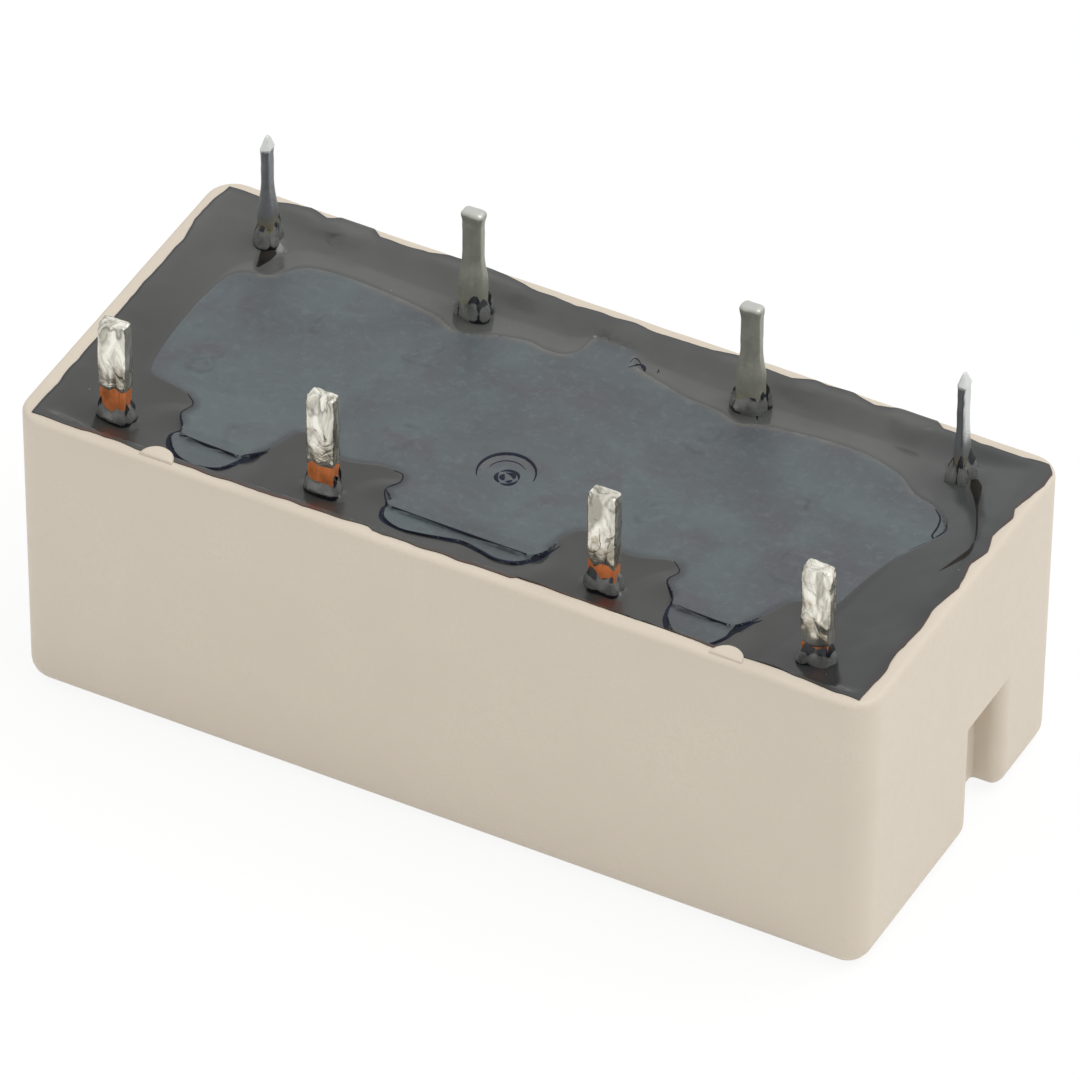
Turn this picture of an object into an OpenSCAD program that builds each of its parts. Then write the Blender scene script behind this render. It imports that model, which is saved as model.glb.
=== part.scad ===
// Sealed board relay lying on the closed face of its cover, terminals up.
// X runs along the cover, Y across it, Z up from the closed face.
// The contact row is on the -Y side and the coil row on the +Y side.

/* [Cover] */
// Length of the cover at its rim
body_l = 31; // [29:0.1:40]
// Width of the cover at its rim
body_w = 14; // [13:0.1:20]
// Height of the cover from its closed face to its rim
body_h = 11.3; // [10.4:0.1:16]
// Wall thickness of the cover
cover_wall = 0.6; // [0.45:0.05:0.8]
// Thickness of the closed face
cover_floor = 0.8; // [0.5:0.05:1.2]
// Radius of the upright corners
corner_r = 1; // [0.9:0.05:2]
// Radius of the edge around the closed face
floor_edge_r = 0.8; // [0.3:0.05:0.9]
// Radius of the rim's outer shoulder
rim_r = 0.2; // [0.05:0.05:0.25]
// How far each side draws in from the rim to the closed face
draft = 0.13; // [0.02:0.01:0.2]

/* [End groove] */
// Width of the upright groove in the right end
groove_w = 2.2; // [1:0.05:2.4]
// Height of the groove from the closed face
groove_h = 4.85; // [2:0.05:6]
// Depth of the groove into the end
groove_depth = 0.95; // [0.4:0.05:1]
// Distance of the groove's near edge behind the middle of the end
groove_y = 0.9; // [0.5:0.05:1.5]
// Radius of the groove's upright edges
groove_edge_r = 0.5; // [0.2:0.05:0.6]

/* [Standoffs] */
// Distance of the standoffs from the middle of the cover
standoff_x = 10.3; // [8:0.1:11.5]
// Radius of each half-round standoff
standoff_r = 0.6; // [0.4:0.05:0.8]
// Height of the standoffs above the rim
standoff_h = 0.12; // [0.05:0.01:0.3]
// Distance of a standoff's flat side from the outside of the rim
standoff_back = 0.22; // [0.1:0.02:0.3]

/* [Base and resin] */
// Depth of the raised land below the rim
land_depth = 0.35; // [0.2:0.05:0.6]
// Height of the land above the base plate
land_rise = 0.65; // [0.4:0.05:0.8]
// Thickness of the base plate
base_t = 1.3; // [1:0.05:1.6]
// Gap between the base plate and the cover
base_gap = 0.05; // [0.02:0.01:0.1]
// Depth of the resin's face below the land
resin_drop = 0.17; // [0.1:0.01:0.3]
// Depth of the lips below the land
lip_drop = 0.11; // [0.05:0.01:0.16]
// Radius of the round gate mark
gate_r = 1; // [0.6:0.05:1.4]
// Depth of the gate mark
gate_depth = 0.1; // [0.05:0.01:0.2]
// Radius of the gate dot in the gate mark
gate_dot_r = 0.4; // [0.2:0.05:0.5]

/* [Terminals] */
// Distance of the outer terminals from the ends of the cover
end_margin = 2.8; // [2.6:0.05:3.2]
// Distance of each row from the side of the cover
row_margin = 1.92; // [1.75:0.01:2.1]
// Pitch between the outer and the inner terminals
pole_pitch = 7.62; // [7.2:0.01:8.2]
// Width of a contact terminal
blade_w = 0.93; // [0.7:0.01:1.2]
// Thickness of a contact terminal
blade_t = 0.42; // [0.3:0.01:0.5]
// Width of an inner coil terminal
coil_blade_w = 0.7; // [0.5:0.05:1]
// Thickness of an inner coil terminal
coil_blade_t = 0.4; // [0.3:0.05:0.5]
// Width of an outer coil terminal
coil_post_w = 0.3; // [0.25:0.05:0.5]
// Thickness of an outer coil terminal
coil_post_t = 0.5; // [0.4:0.05:0.6]
// Length of the contact terminals above the rim
contact_pin_l = 3.45; // [2.5:0.05:5]
// Length of the inner coil terminals above the rim
coil_pin_l = 3.85; // [2.5:0.05:5]
// Length of the outer coil terminals above the rim
coil_post_l = 4.05; // [2.5:0.05:5]
// Gap between a terminal and its slot in the base
slot_gap = 0.03; // [0.01:0.01:0.06]

/* [Contacts] */
// Radius of the contacts
contact_r = 1.1; // [0.8:0.05:1.2]
// Radius of the domed contact faces
contact_dome_r = 6; // [4:0.5:10]
// Height of a moving contact
moving_contact_h = 0.47; // [0.35:0.01:0.55]
// Height of a fixed contact
fixed_contact_h = 0.4; // [0.3:0.01:0.45]
// Distance of the contacts inwards from the outer terminals
contact_inset = 1.5; // [1.3:0.05:1.7]
// Gap left between closed contacts
closed_gap = 0.03; // [0.02:0.01:0.06]
// Thickness of a moving spring
spring_t = 0.2; // [0.12:0.01:0.24]
// Height of a moving spring
spring_h = 2.4; // [2:0.1:2.8]
// Sideways step of the common terminals towards the coil
joggle = 0.47; // [0.45:0.01:0.55]
// Gap on each side of a spring's root
root_gap = 0.1; // [0.08:0.01:0.12]
// Radius of the rivet through a spring's root
rivet_r = 0.5; // [0.35:0.05:0.6]

/* [Armature and coil] */
// Swing of the armature between its stops in degrees
swing = 3; // [2:0.1:3.2]
// Thickness of the armature
armature_t = 0.9; // [0.7:0.05:1]
// Height of the armature
armature_h = 3; // [2.4:0.1:3.2]
// Radius of the armature's pivot pin
pivot_r = 0.35; // [0.2:0.01:0.4]
// Running clearance around the pivot pin
pivot_gap = 0.04; // [0.02:0.01:0.08]
// Thickness of a card
card_t = 0.7; // [0.5:0.05:0.8]
// Gap on each side of a spring in its card
card_gap = 0.1; // [0.06:0.01:0.15]
// Distance from the armature's pivot to the coil row
coil_back = 2.9; // [2.7:0.05:3.1]
// Thickness of the pole plates
plate_t = 0.8; // [0.6:0.05:0.9]
// Gap left between the armature and a pole
pole_gap = 0.04; // [0.02:0.01:0.1]
// Distance from the armature's middle to the inside of a pole plate
plate_reach = 2.8; // [2.6:0.05:2.9]
// How far the winding reaches past the inner terminals at each end
winding_x = 2.42; // [1.4:0.02:2.5]
// Depth of the wire on the bobbin
winding_t = 0.9; // [0.7:0.05:1]
// Thickness of the bobbin's tube and flanges
bobbin_wall = 0.45; // [0.35:0.05:0.5]
// Length of each magnet along the cover
magnet_l = 2.5; // [1.5:0.1:2.7]
// Height of each magnet
magnet_h = 1.7; // [1.2:0.1:1.8]
// Radius of the coil leads
lead_r = 0.1; // [0.05:0.01:0.12]

/* [Hidden] */
$fn = 48;
// Small fit between pieces that are pressed together
fit = 0.02;
// Overlap that makes cuts run through
over = 1;
// Thin slice that marks a level of the cavity
slice = 0.01;
// Share of the tip's length by which each side of a terminal draws in there
tip_taper = 0.6;
// How far the round at the groove's foot is let down, so that it ends in a clean edge
foot_ease = 0.005;

half_l = body_l / 2;
half_w = body_w / 2;
edge_r = min(floor_edge_r, corner_r);
least_r = 0.1;
cavity_r = max(corner_r - cover_wall, least_r);

// Levels, from the rim down to the middle of the mechanism
land_z = body_h - land_depth;
resin_z = land_z - resin_drop;
lip_z = land_z - lip_drop;
plate_z = land_z - land_rise;
base_z = plate_z - base_t;
mech_lift = 0.3;
mech_z = (cover_floor + base_z) / 2 + mech_lift;

// Terminal columns and rows, and how deep the terminals hang below the base
outer_x = half_l - end_margin;
inner_x = outer_x - pole_pitch;
row_y = half_w - row_margin;
post_depth = 1.4;
coil_post_low = base_z - post_depth;
lead_rise = 0.15;
lead_z = coil_post_low + lead_rise;
step_t = 0.4;
step_depth = 1.1;
step_z = base_z - step_depth;
blade_drop = 1.3;
blade_low = mech_z - blade_drop;
blade_edge = 0.1;

// Armature, cards and springs share one plane of action
pivot_y = row_y - coil_back;
contact_x = outer_x - contact_inset;
card_side_gap = 0.4;
card_x = contact_x + contact_r + card_side_gap + card_t / 2;
card_h = 2.5;
card_wall = 0.45;
tip_h = 1.2;
tip_gap = 0.15;
tip_over = 0.3;
tab_h = 1.6;
tab_over = 0.1;
half_swing = swing / 2;
spring_lever = card_x - inner_x;
half_flex = asin(card_x * sin(half_swing) / spring_lever);
common_y = -row_y + joggle;
spring_y = common_y + (blade_t + spring_t) / 2 + root_gap;
half_travel = (contact_x - inner_x) * sin(half_flex);
fixed_face_y = spring_y - spring_t / 2 - moving_contact_h - half_travel - closed_gap;
fixed_y = fixed_face_y - fixed_contact_h - blade_t / 2;
root_pad = 0.3;
root_play = 0.05;
shoulder_gap = 0.05;
stem_r = 0.55;
tail_r = 0.8;
tail_t = 0.15;
head_t = 0.3;

// Coil and magnetic circuit around the armature
bore_play = 0.4;
bore_w = armature_t + 2 * bore_play;
bore_h = armature_h + bore_play;
tube_w = bore_w + 2 * bobbin_wall;
tube_h = bore_h + 2 * bobbin_wall;
winding_w = tube_w + 2 * winding_t;
winding_h = tube_h + 2 * winding_t;
winding_r = 0.5;
winding_end = inner_x + winding_x;
flange_gap = 0.1;
flange_rib = 0.25;
flange_in = winding_end + flange_gap;
flange_out = flange_in + bobbin_wall + flange_rib;
floor_gap = 0.4;
flange_low = cover_floor + floor_gap;
notch_gap = 0.2;
lead_bend = 0.9;
boss_wall = 0.35;
boss_r = pivot_r + boss_wall;
plate_end_gap = 0.5;
plate_x = card_x - card_t / 2 - plate_end_gap;
bar_over = 0.15;
magnet_gap = 0.4;
plate_low = mech_z - armature_h / 2 - magnet_gap - magnet_h;
plate_rise = 1.8;
plate_top = mech_z + plate_rise;
leg_h = 3.2;
pole_y = armature_t / 2 + plate_x * sin(half_swing) + pole_gap;
magnet_in = flange_out + notch_gap;

// Raised land of the base: the reach of its edges and of its pools around the pins
land_end = 0.25;
land_x = outer_x + land_end;
land_far_gap = 0.48;
land_far_y = row_y - land_far_gap;
land_near_gap = 0.38;
land_tab_y = row_y - land_near_gap;
pool_depth = 2.28;
pool_y = row_y - pool_depth;
land_corner_x = 2.35;
land_corner_y = 1.7;
pool_half_w = 2.05;
pool_r = 0.5;
end_pool_w = 1.95;
end_pool_x = outer_x - end_pool_w;
lip_r = 1.28;
lip_reach = 1;
mid_lip_r = 4.4;
mid_lip_reach = 0.75;
mid_lip_inset = 0.13;
mid_lip_half_l = inner_x - pool_half_w - mid_lip_inset;
far_tab_w = 1.6;
far_tab_reach = 0.8;
far_tab_y = row_y + far_tab_reach;
gate_y = -1.8;

// Distance from the rim's outside to the cavity's wall at height z
function wall_at(z) = cover_wall + draft * (1 - z / body_h);

module rounded(l, w, r) {
    square([l - 2 * r, w], center = true);
    square([l, w - 2 * r], center = true);
    for (sx = [-1, 1], sy = [-1, 1])
        translate([sx * (l / 2 - r), sy * (w / 2 - r)]) circle(r);
}

// Plan of the cavity at height z, drawn in by a gap
module cavity_plan(z, gap) {
    rounded(body_l - 2 * (wall_at(z) + gap), body_w - 2 * (wall_at(z) + gap), cavity_r);
}

// Disc with a round edge that forms one corner of the cover
module corner_ring(ring_r) {
    rotate_extrude($fn = 32) intersection() {
        translate([corner_r - ring_r, 0]) circle(ring_r);
        translate([0, -ring_r]) square([corner_r, 2 * ring_r]);
    }
}

module cover_block() {
    hull() for (sx = [-1, 1], sy = [-1, 1]) {
        translate([sx * (half_l - corner_r), sy * (half_w - corner_r), body_h - rim_r]) corner_ring(rim_r);
        translate([sx * (half_l - draft - corner_r), sy * (half_w - draft - corner_r), edge_r])
            corner_ring(edge_r);
    }
}

module cover_cavity() {
    hull() {
        translate([0, 0, cover_floor]) linear_extrude(slice) cavity_plan(cover_floor, 0);
        translate([0, 0, body_h]) linear_extrude(slice) cavity_plan(body_h, 0);
    }
}

// Plan of the groove, with round edges where it opens into the end
module groove_plan() {
    end_x = half_l - draft;
    translate([end_x - groove_depth, groove_y]) square([groove_depth + over, groove_w]);
    translate([end_x - groove_edge_r, groove_y + groove_w / 2]) for (far = [0, 1])
        mirror([0, far]) difference() {
            translate([0, groove_w / 2 - fit]) square([groove_edge_r + over, groove_edge_r + fit]);
            translate([0, groove_w / 2 + groove_edge_r]) circle(groove_edge_r);
        }
}

// What is cut away beside a wall to round its foot: X is the distance from the wall, Y the height
module foot_plan() {
    difference() {
        translate([-fit, -over]) square([edge_r + fit, edge_r + over]);
        translate([edge_r, edge_r - foot_ease]) circle(edge_r);
    }
}

// Groove in the right end, whose foot is rounded as the edge around the closed face is
module groove() {
    back_x = half_l - draft - groove_depth;
    far_y = groove_y + groove_w;
    translate([0, 0, -over]) linear_extrude(groove_h + over) groove_plan();
    translate([back_x, far_y, 0]) rotate([90, 0, 90]) linear_extrude(groove_depth + over) foot_plan();
    translate([back_x, groove_y, 0]) mirror([0, 1, 0]) rotate([90, 0, 90])
        linear_extrude(groove_depth + over) foot_plan();
    translate([back_x, far_y, 0]) mirror([1, 0, 0]) rotate([90, 0, 0]) linear_extrude(groove_w) foot_plan();
    for (y = [groove_y, far_y])
        translate([back_x, y, 0]) rotate_extrude() intersection() {
            foot_plan();
            translate([0, -over]) square([edge_r, edge_r + over]);
        }
}

// Wall behind the groove, on the inside of the end
module groove_back() {
    back_x = half_l - draft - groove_depth - cover_wall;
    low = cover_floor / 2;
    translate([back_x, groove_y - cover_wall, low])
        cube([groove_depth + cover_wall / 2, groove_w + 2 * cover_wall, groove_h + cover_wall - low]);
}

module standoff() {
    intersection() {
        cylinder(r = standoff_r, h = body_h + standoff_h - resin_z - fit);
        translate([-over, 0, -over]) cube([2 * over, over, body_h]);
    }
}

module cover() {
    color("#cdc3b2") difference() {
        union() {
            difference() {
                cover_block();
                cover_cavity();
            }
            groove_back();
            for (sx = [-1, 1], turn = [0, 180])
                rotate([0, 0, turn])
                    translate([sx * standoff_x, standoff_back - half_w, resin_z + fit]) standoff();
        }
        groove();
    }
}

// Terminal that is a flat strip with a tapered tip, between two heights
module strip(w, t, low, high, tip) {
    rotate([90, 0, 0]) linear_extrude(t, center = true)
        polygon([[-w / 2, low], [w / 2, low], [w / 2, high - tip], [w / 2 - tip_taper * tip, high],
            [tip_taper * tip - w / 2, high], [-w / 2, high - tip]]);
}

// The part of every terminal that passes the base, widened by a gap
module terminal_slots(gap, low, high) {
    for (s = [-1, 1]) {
        for (x = [inner_x, outer_x])
            translate([s * x, -row_y, low]) upright(blade_w + 2 * gap, blade_t + 2 * gap, high - low);
        translate([s * inner_x, row_y, low])
            upright(coil_blade_w + 2 * gap, coil_blade_t + 2 * gap, high - low);
        translate([s * outer_x, row_y, low])
            upright(coil_post_w + 2 * gap, coil_post_t + 2 * gap, high - low);
    }
}

module upright(w, t, h) {
    translate([-w / 2, -t / 2, 0]) cube([w, t, h]);
}

// Rectangle from one corner to the other
module area(x0, y0, x1, y1) {
    translate([x0, y0]) square([x1 - x0, y1 - y0]);
}

// One tab of the land between two pools, with round corners
module land_tab(x0, x1) {
    area(x0, pool_r - land_tab_y, x1, 0);
    area(x0 + pool_r, -land_tab_y, x1 - pool_r, 0);
    for (x = [x0 + pool_r, x1 - pool_r])
        translate([x, pool_r - land_tab_y]) circle(pool_r);
}

module land_plan() {
    polygon([[-land_x, -pool_y], [land_x, -pool_y], [land_x, land_far_y - land_corner_y],
        [land_x - land_corner_x, land_far_y], [land_corner_x - land_x, land_far_y],
        [-land_x, land_far_y - land_corner_y]]);
    land_tab(-end_pool_x, -inner_x - pool_half_w);
    land_tab(pool_half_w - inner_x, inner_x - pool_half_w);
    land_tab(inner_x + pool_half_w, end_pool_x);
    area(-far_tab_w / 2, land_far_y - over, far_tab_w / 2, far_tab_y);
}

// Disc that stands out of the land's near edge by its reach
module lip_plan(r, reach) {
    translate([0, r - reach - land_tab_y]) circle(r);
}

module raised_land() {
    translate([0, 0, base_z + base_t / 2]) {
        linear_extrude(land_z - base_z - base_t / 2) land_plan();
        linear_extrude(lip_z - base_z - base_t / 2) {
            intersection() {
                lip_plan(mid_lip_r, mid_lip_reach);
                area(-mid_lip_half_l, -row_y - over, mid_lip_half_l, -pool_y);
            }
            for (s = [-1, 1])
                translate([s * (inner_x + pool_half_w + end_pool_x) / 2, 0]) lip_plan(lip_r, lip_reach);
        }
    }
}

module base() {
    color("#646a70") difference() {
        union() {
            translate([0, 0, base_z]) linear_extrude(base_t) cavity_plan(base_z, base_gap);
            raised_land();
        }
        terminal_slots(slot_gap, base_z - over, body_h);
        translate([0, gate_y, land_z - gate_depth]) difference() {
            cylinder(r = gate_r, h = over);
            translate([0, 0, -over]) cylinder(r = gate_dot_r, h = over + gate_depth / 2);
        }
    }
}

module seal_resin() {
    color("#4a4d4e") difference() {
        translate([0, 0, plate_z]) linear_extrude(resin_z - plate_z) cavity_plan(plate_z, fit);
        raised_land();
        terminal_slots(0, base_z, body_h);
    }
}

// Blade that carries a contact or a spring, hung from its terminal by a step
module contact_terminal(x, y, low_x, high_x) {
    translate([x, -row_y, 0]) strip(blade_w, blade_t, step_z, body_h + contact_pin_l, blade_w / 4);
    near_y = min(y, -row_y) - blade_t / 2;
    far_y = max(y, -row_y) + blade_t / 2;
    translate([x - blade_w / 2, near_y, step_z]) cube([blade_w, far_y - near_y, step_t]);
    translate([low_x, y - blade_t / 2, blade_low])
        cube([high_x - low_x, blade_t, step_z + step_t - blade_low]);
}

module hole_along_y(x, r) {
    translate([x, 0, mech_z]) rotate([90, 0, 0]) cylinder(r = r, h = 4 * body_w, center = true);
}

module fixed_terminal(s) {
    mirror([s < 0 ? 1 : 0, 0, 0]) color("#c9c8bd") difference() {
        contact_terminal(outer_x, fixed_y, contact_x - contact_r - blade_edge, outer_x + blade_w / 2);
        hole_along_y(contact_x, stem_r + fit);
    }
}

module left_fixed_terminal() { fixed_terminal(-1); }

module right_fixed_terminal() { fixed_terminal(1); }

module common_terminal(s) {
    mirror([s < 0 ? 1 : 0, 0, 0]) color("#c9c8bd") difference() {
        contact_terminal(inner_x, common_y, inner_x - spring_h / 2, inner_x + spring_h / 2);
        hole_along_y(inner_x, rivet_r + fit);
    }
}

module left_common_terminal() { common_terminal(-1); }

module right_common_terminal() { common_terminal(1); }

// Disc with its axis along Y, from one Y to another
module disc(r, y0, y1) {
    translate([0, y1, 0]) rotate([90, 0, 0]) cylinder(r = r, h = y1 - y0);
}

// Rivet with a domed face at face_y, its head standing on seat_y and its tail past back_y
module contact_rivet(face_y, seat_y, back_y) {
    way = sign(face_y - seat_y);
    color("#d6d3c8") union() {
        intersection() {
            disc(contact_r, min(face_y, seat_y), max(face_y, seat_y));
            translate([0, face_y - way * contact_dome_r, 0]) sphere(contact_dome_r, $fn = 96);
        }
        disc(stem_r, min(seat_y, back_y) - tail_t / 2, max(seat_y, back_y) + tail_t / 2);
        disc(tail_r, min(back_y, back_y - way * tail_t), max(back_y, back_y - way * tail_t));
    }
}

module fixed_contact(s) {
    translate([s * contact_x, fixed_y, mech_z])
        contact_rivet(fixed_face_y - fixed_y, blade_t / 2, -blade_t / 2);
}

module left_fixed_contact() { fixed_contact(-1); }

module right_fixed_contact() { fixed_contact(1); }

// Puts a spring's own frame at its root, turned to where it rests
module at_spring_root(s) {
    translate([s * inner_x, spring_y, mech_z])
        rotate([0, 0, -half_flex])
            mirror([s < 0 ? 1 : 0, 0, 0]) children();
}

module moving_spring(s) {
    root_l = rivet_r + root_pad;
    shoulder_x = contact_x + contact_r + shoulder_gap - inner_x;
    tip_x = spring_lever + card_t / 2 + tip_over;
    at_spring_root(s) color("#b9833f") difference() {
        rotate([90, 0, 0]) linear_extrude(spring_t, center = true)
            polygon([[-root_l, -spring_h / 2], [shoulder_x, -spring_h / 2], [shoulder_x, -tip_h / 2],
                [tip_x, -tip_h / 2], [tip_x, tip_h / 2], [shoulder_x, tip_h / 2],
                [shoulder_x, spring_h / 2], [-root_l, spring_h / 2]]);
        disc(rivet_r + root_play, -over, over);
        translate([contact_x - inner_x, 0, 0]) disc(stem_r + fit, -over, over);
    }
}

module left_moving_spring() { moving_spring(-1); }

module right_moving_spring() { moving_spring(1); }

module moving_contact(s) {
    at_spring_root(s) translate([contact_x - inner_x, 0, 0])
        contact_rivet(-spring_t / 2 - moving_contact_h, -spring_t / 2, spring_t / 2);
}

module left_moving_contact() { moving_contact(-1); }

module right_moving_contact() { moving_contact(1); }

// Rivet that holds a spring's root loosely against its common terminal
module spring_rivet(s) {
    head_y = spring_y + spring_t / 2 + root_gap;
    back_y = common_y - blade_t / 2;
    color("#c08a55") translate([s * inner_x, 0, mech_z]) {
        disc(rivet_r, back_y - tail_t / 2, head_y + head_t / 2);
        disc(tail_r, head_y, head_y + head_t);
        disc(tail_r, back_y - tail_t, back_y);
    }
}

module left_spring_rivet() { spring_rivet(-1); }

module right_spring_rivet() { spring_rivet(1); }

module outer_coil_terminal(s) {
    color("#a8a678") translate([s * outer_x, row_y, 0])
        strip(coil_post_w, coil_post_t, coil_post_low, body_h + coil_post_l, coil_post_w / 2);
}

module inner_coil_terminal(s) {
    color("#9a9a8c") translate([s * inner_x, row_y, 0])
        strip(coil_blade_w, coil_blade_t, coil_post_low, body_h + coil_pin_l, coil_blade_w / 4);
}

module outer_left_coil_terminal() { outer_coil_terminal(-1); }

module inner_left_coil_terminal() { inner_coil_terminal(-1); }

module inner_right_coil_terminal() { inner_coil_terminal(1); }

module outer_right_coil_terminal() { outer_coil_terminal(1); }

// Lead from an outer coil terminal along the bobbin's flange to the back of the winding
module outer_coil_lead(s) {
    bend_x = winding_end - lead_bend;
    lead_y = row_y - coil_post_t / 2 + lead_r;
    back_y = pivot_y + winding_w / 2;
    mirror([s < 0 ? 1 : 0, 0, 0]) color("#b4632f") {
        translate([bend_x, lead_y, lead_z]) rotate([0, 90, 0])
            cylinder(r = lead_r, h = outer_x - coil_post_w / 2 - bend_x);
        translate([bend_x, lead_y, lead_z]) sphere(lead_r);
        translate([bend_x, 0, lead_z]) disc(lead_r, back_y, lead_y);
    }
}

// Short lead from an inner coil terminal straight to the back of the winding
module inner_coil_lead(s) {
    color("#b4632f") translate([s * inner_x, 0, lead_z])
        disc(lead_r, pivot_y + winding_w / 2, row_y - coil_blade_t / 2);
}

module outer_left_coil_lead() { outer_coil_lead(-1); }

module inner_left_coil_lead() { inner_coil_lead(-1); }

module inner_right_coil_lead() { inner_coil_lead(1); }

module outer_right_coil_lead() { outer_coil_lead(1); }

// Box around the armature's axis, by its half length, its width and its height
module around_axis(x0, x1, w, h) {
    translate([x0, pivot_y - w / 2, mech_z - h / 2]) cube([x1 - x0, w, h]);
}

module coil_bobbin() {
    notch_y = row_y - coil_post_t / 2 - notch_gap;
    color("#3c3f42") difference() {
        union() {
            around_axis(-flange_in, flange_in, tube_w, tube_h);
            for (x = [-flange_out, flange_in])
                translate([x, pivot_y - plate_reach, flange_low])
                    cube([flange_out - flange_in, 2 * plate_reach, base_z - flange_low]);
        }
        around_axis(-flange_out - over, flange_out + over, bore_w, bore_h);
        translate([0, pivot_y, mech_z]) cylinder(r = pivot_r + fit, h = 2 * tube_h, center = true);
        translate([-flange_out - over, notch_y, lead_z - 2 * lead_r])
            cube([2 * flange_out + 2 * over, body_w, base_z]);
    }
}

module coil_winding() {
    color("#a4522a") translate([-winding_end, pivot_y, mech_z]) rotate([90, 0, 90])
        linear_extrude(2 * winding_end) difference() {
            rounded(winding_w, winding_h, winding_r);
            square([tube_w + fit, tube_h + fit], center = true);
        }
}

// Turns the armature and its cards from their middle to where they rest
module at_armature() {
    translate([0, pivot_y, mech_z]) rotate([0, 0, -half_swing]) children();
}

module armature() {
    bar_x = plate_x + bar_over;
    tab_x = card_x + card_t / 2 + tab_over;
    at_armature() color("#8d9093") difference() {
        union() {
            cube([2 * bar_x, armature_t, armature_h], center = true);
            cube([2 * tab_x, armature_t, tab_h], center = true);
            cylinder(r = boss_r, h = armature_h, center = true);
        }
        cylinder(r = pivot_r + pivot_gap, h = 2 * armature_h, center = true);
    }
}

module armature_pivot() {
    color("#b5b7ba") translate([0, pivot_y, mech_z]) cylinder(r = pivot_r, h = tube_h, center = true);
}

// Pusher that grips the armature's end and takes the spring's tip in a window
module card(s) {
    plane_y = spring_y - pivot_y;
    window_w = spring_t + 2 * card_gap;
    low_y = plane_y - window_w / 2 - card_wall;
    high_y = armature_t / 2 + card_wall;
    at_armature() color("#e6e2d6") translate([s * card_x, 0, 0]) difference() {
        translate([-card_t / 2, low_y, -card_h / 2]) cube([card_t, high_y - low_y, card_h]);
        cube([2 * card_t, armature_t + fit, tab_h + fit], center = true);
        translate([0, plane_y, 0]) cube([2 * card_t, window_w, tip_h + 2 * tip_gap], center = true);
    }
}

module left_card() { card(-1); }

module right_card() { card(1); }

// Soft iron channel with a leg at each end that faces the armature
module pole_plate(way) {
    color("#7f8286") translate([0, pivot_y, 0]) mirror([0, way < 0 ? 1 : 0, 0]) {
        translate([-plate_x, plate_reach, plate_low]) cube([2 * plate_x, plate_t, plate_top - plate_low]);
        for (x = [-plate_x, plate_x - plate_t])
            translate([x, pole_y, mech_z - leg_h / 2]) cube([plate_t, plate_reach + plate_t - pole_y, leg_h]);
    }
}

module front_pole_plate() { pole_plate(-1); }

module rear_pole_plate() { pole_plate(1); }

module magnet(s) {
    color("#55585c") mirror([s < 0 ? 1 : 0, 0, 0])
        translate([magnet_in, pivot_y - plate_reach, plate_low]) cube([magnet_l, 2 * plate_reach, magnet_h]);
}

module left_magnet() { magnet(-1); }

module right_magnet() { magnet(1); }

cover();
base();
seal_resin();
coil_bobbin();
coil_winding();
front_pole_plate();
rear_pole_plate();
left_magnet();
right_magnet();
armature();
armature_pivot();
left_card();
right_card();
left_moving_spring();
right_moving_spring();
left_moving_contact();
right_moving_contact();
left_fixed_contact();
right_fixed_contact();
left_fixed_terminal();
right_fixed_terminal();
left_common_terminal();
right_common_terminal();
left_spring_rivet();
right_spring_rivet();
outer_left_coil_terminal();
inner_left_coil_terminal();
inner_right_coil_terminal();
outer_right_coil_terminal();
outer_left_coil_lead();
inner_left_coil_lead();
inner_right_coil_lead();
outer_right_coil_lead();
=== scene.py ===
"""Looks of a sealed board relay that lies on its closed face, terminals up.

Every new piece is a surface worked out with numpy in metres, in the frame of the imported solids.
"""

import math

import bpy
import numpy as np
from bpy.props import FloatProperty, FloatVectorProperty, PointerProperty
from mathutils import Matrix, Vector


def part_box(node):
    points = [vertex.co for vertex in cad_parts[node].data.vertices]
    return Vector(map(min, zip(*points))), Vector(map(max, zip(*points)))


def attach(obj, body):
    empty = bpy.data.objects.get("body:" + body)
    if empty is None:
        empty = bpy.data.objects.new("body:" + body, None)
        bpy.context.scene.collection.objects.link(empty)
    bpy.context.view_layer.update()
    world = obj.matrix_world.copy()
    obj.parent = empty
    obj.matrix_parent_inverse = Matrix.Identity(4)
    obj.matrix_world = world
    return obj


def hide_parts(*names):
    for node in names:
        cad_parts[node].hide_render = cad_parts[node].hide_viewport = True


bl_info = {
    "name": "Board relay looks",
    "version": (1, 0, 0),
    "blender": (4, 5, 0),
    "location": "View3D > Sidebar > Relay",
    "description": "Dresses a sealed board relay: cover, base, cast resin, tinned terminals and stage",
    "category": "Add Mesh",
}

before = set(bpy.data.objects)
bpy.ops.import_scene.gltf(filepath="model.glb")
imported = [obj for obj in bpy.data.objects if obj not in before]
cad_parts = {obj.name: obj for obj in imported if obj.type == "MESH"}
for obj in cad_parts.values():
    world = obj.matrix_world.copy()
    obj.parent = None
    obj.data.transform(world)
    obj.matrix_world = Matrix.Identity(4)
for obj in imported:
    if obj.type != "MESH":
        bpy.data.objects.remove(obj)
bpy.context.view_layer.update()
HOUSING = "housing"
MM = 0.001
PER_MM = 1000.0
HAIR = 0.004 * MM

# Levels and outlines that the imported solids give
COVER_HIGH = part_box("cover")[1]
BASE_LOW, BASE_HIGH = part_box("base")
RESIN_LOW, RESIN_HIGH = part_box("seal_resin")
HALF_L = COVER_HIGH.x
HALF_W = COVER_HIGH.y
LAND_Z = BASE_HIGH.z
RESIN_Z = RESIN_HIGH.z
PLATE_Z = RESIN_LOW.z


def column_of(node):
    """X and Y of the middle of a straight terminal, and the heights of its low end and its tip."""
    low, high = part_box(node)
    return (low.x + high.x) / 2, (low.y + high.y) / 2, low.z, high.z


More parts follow.
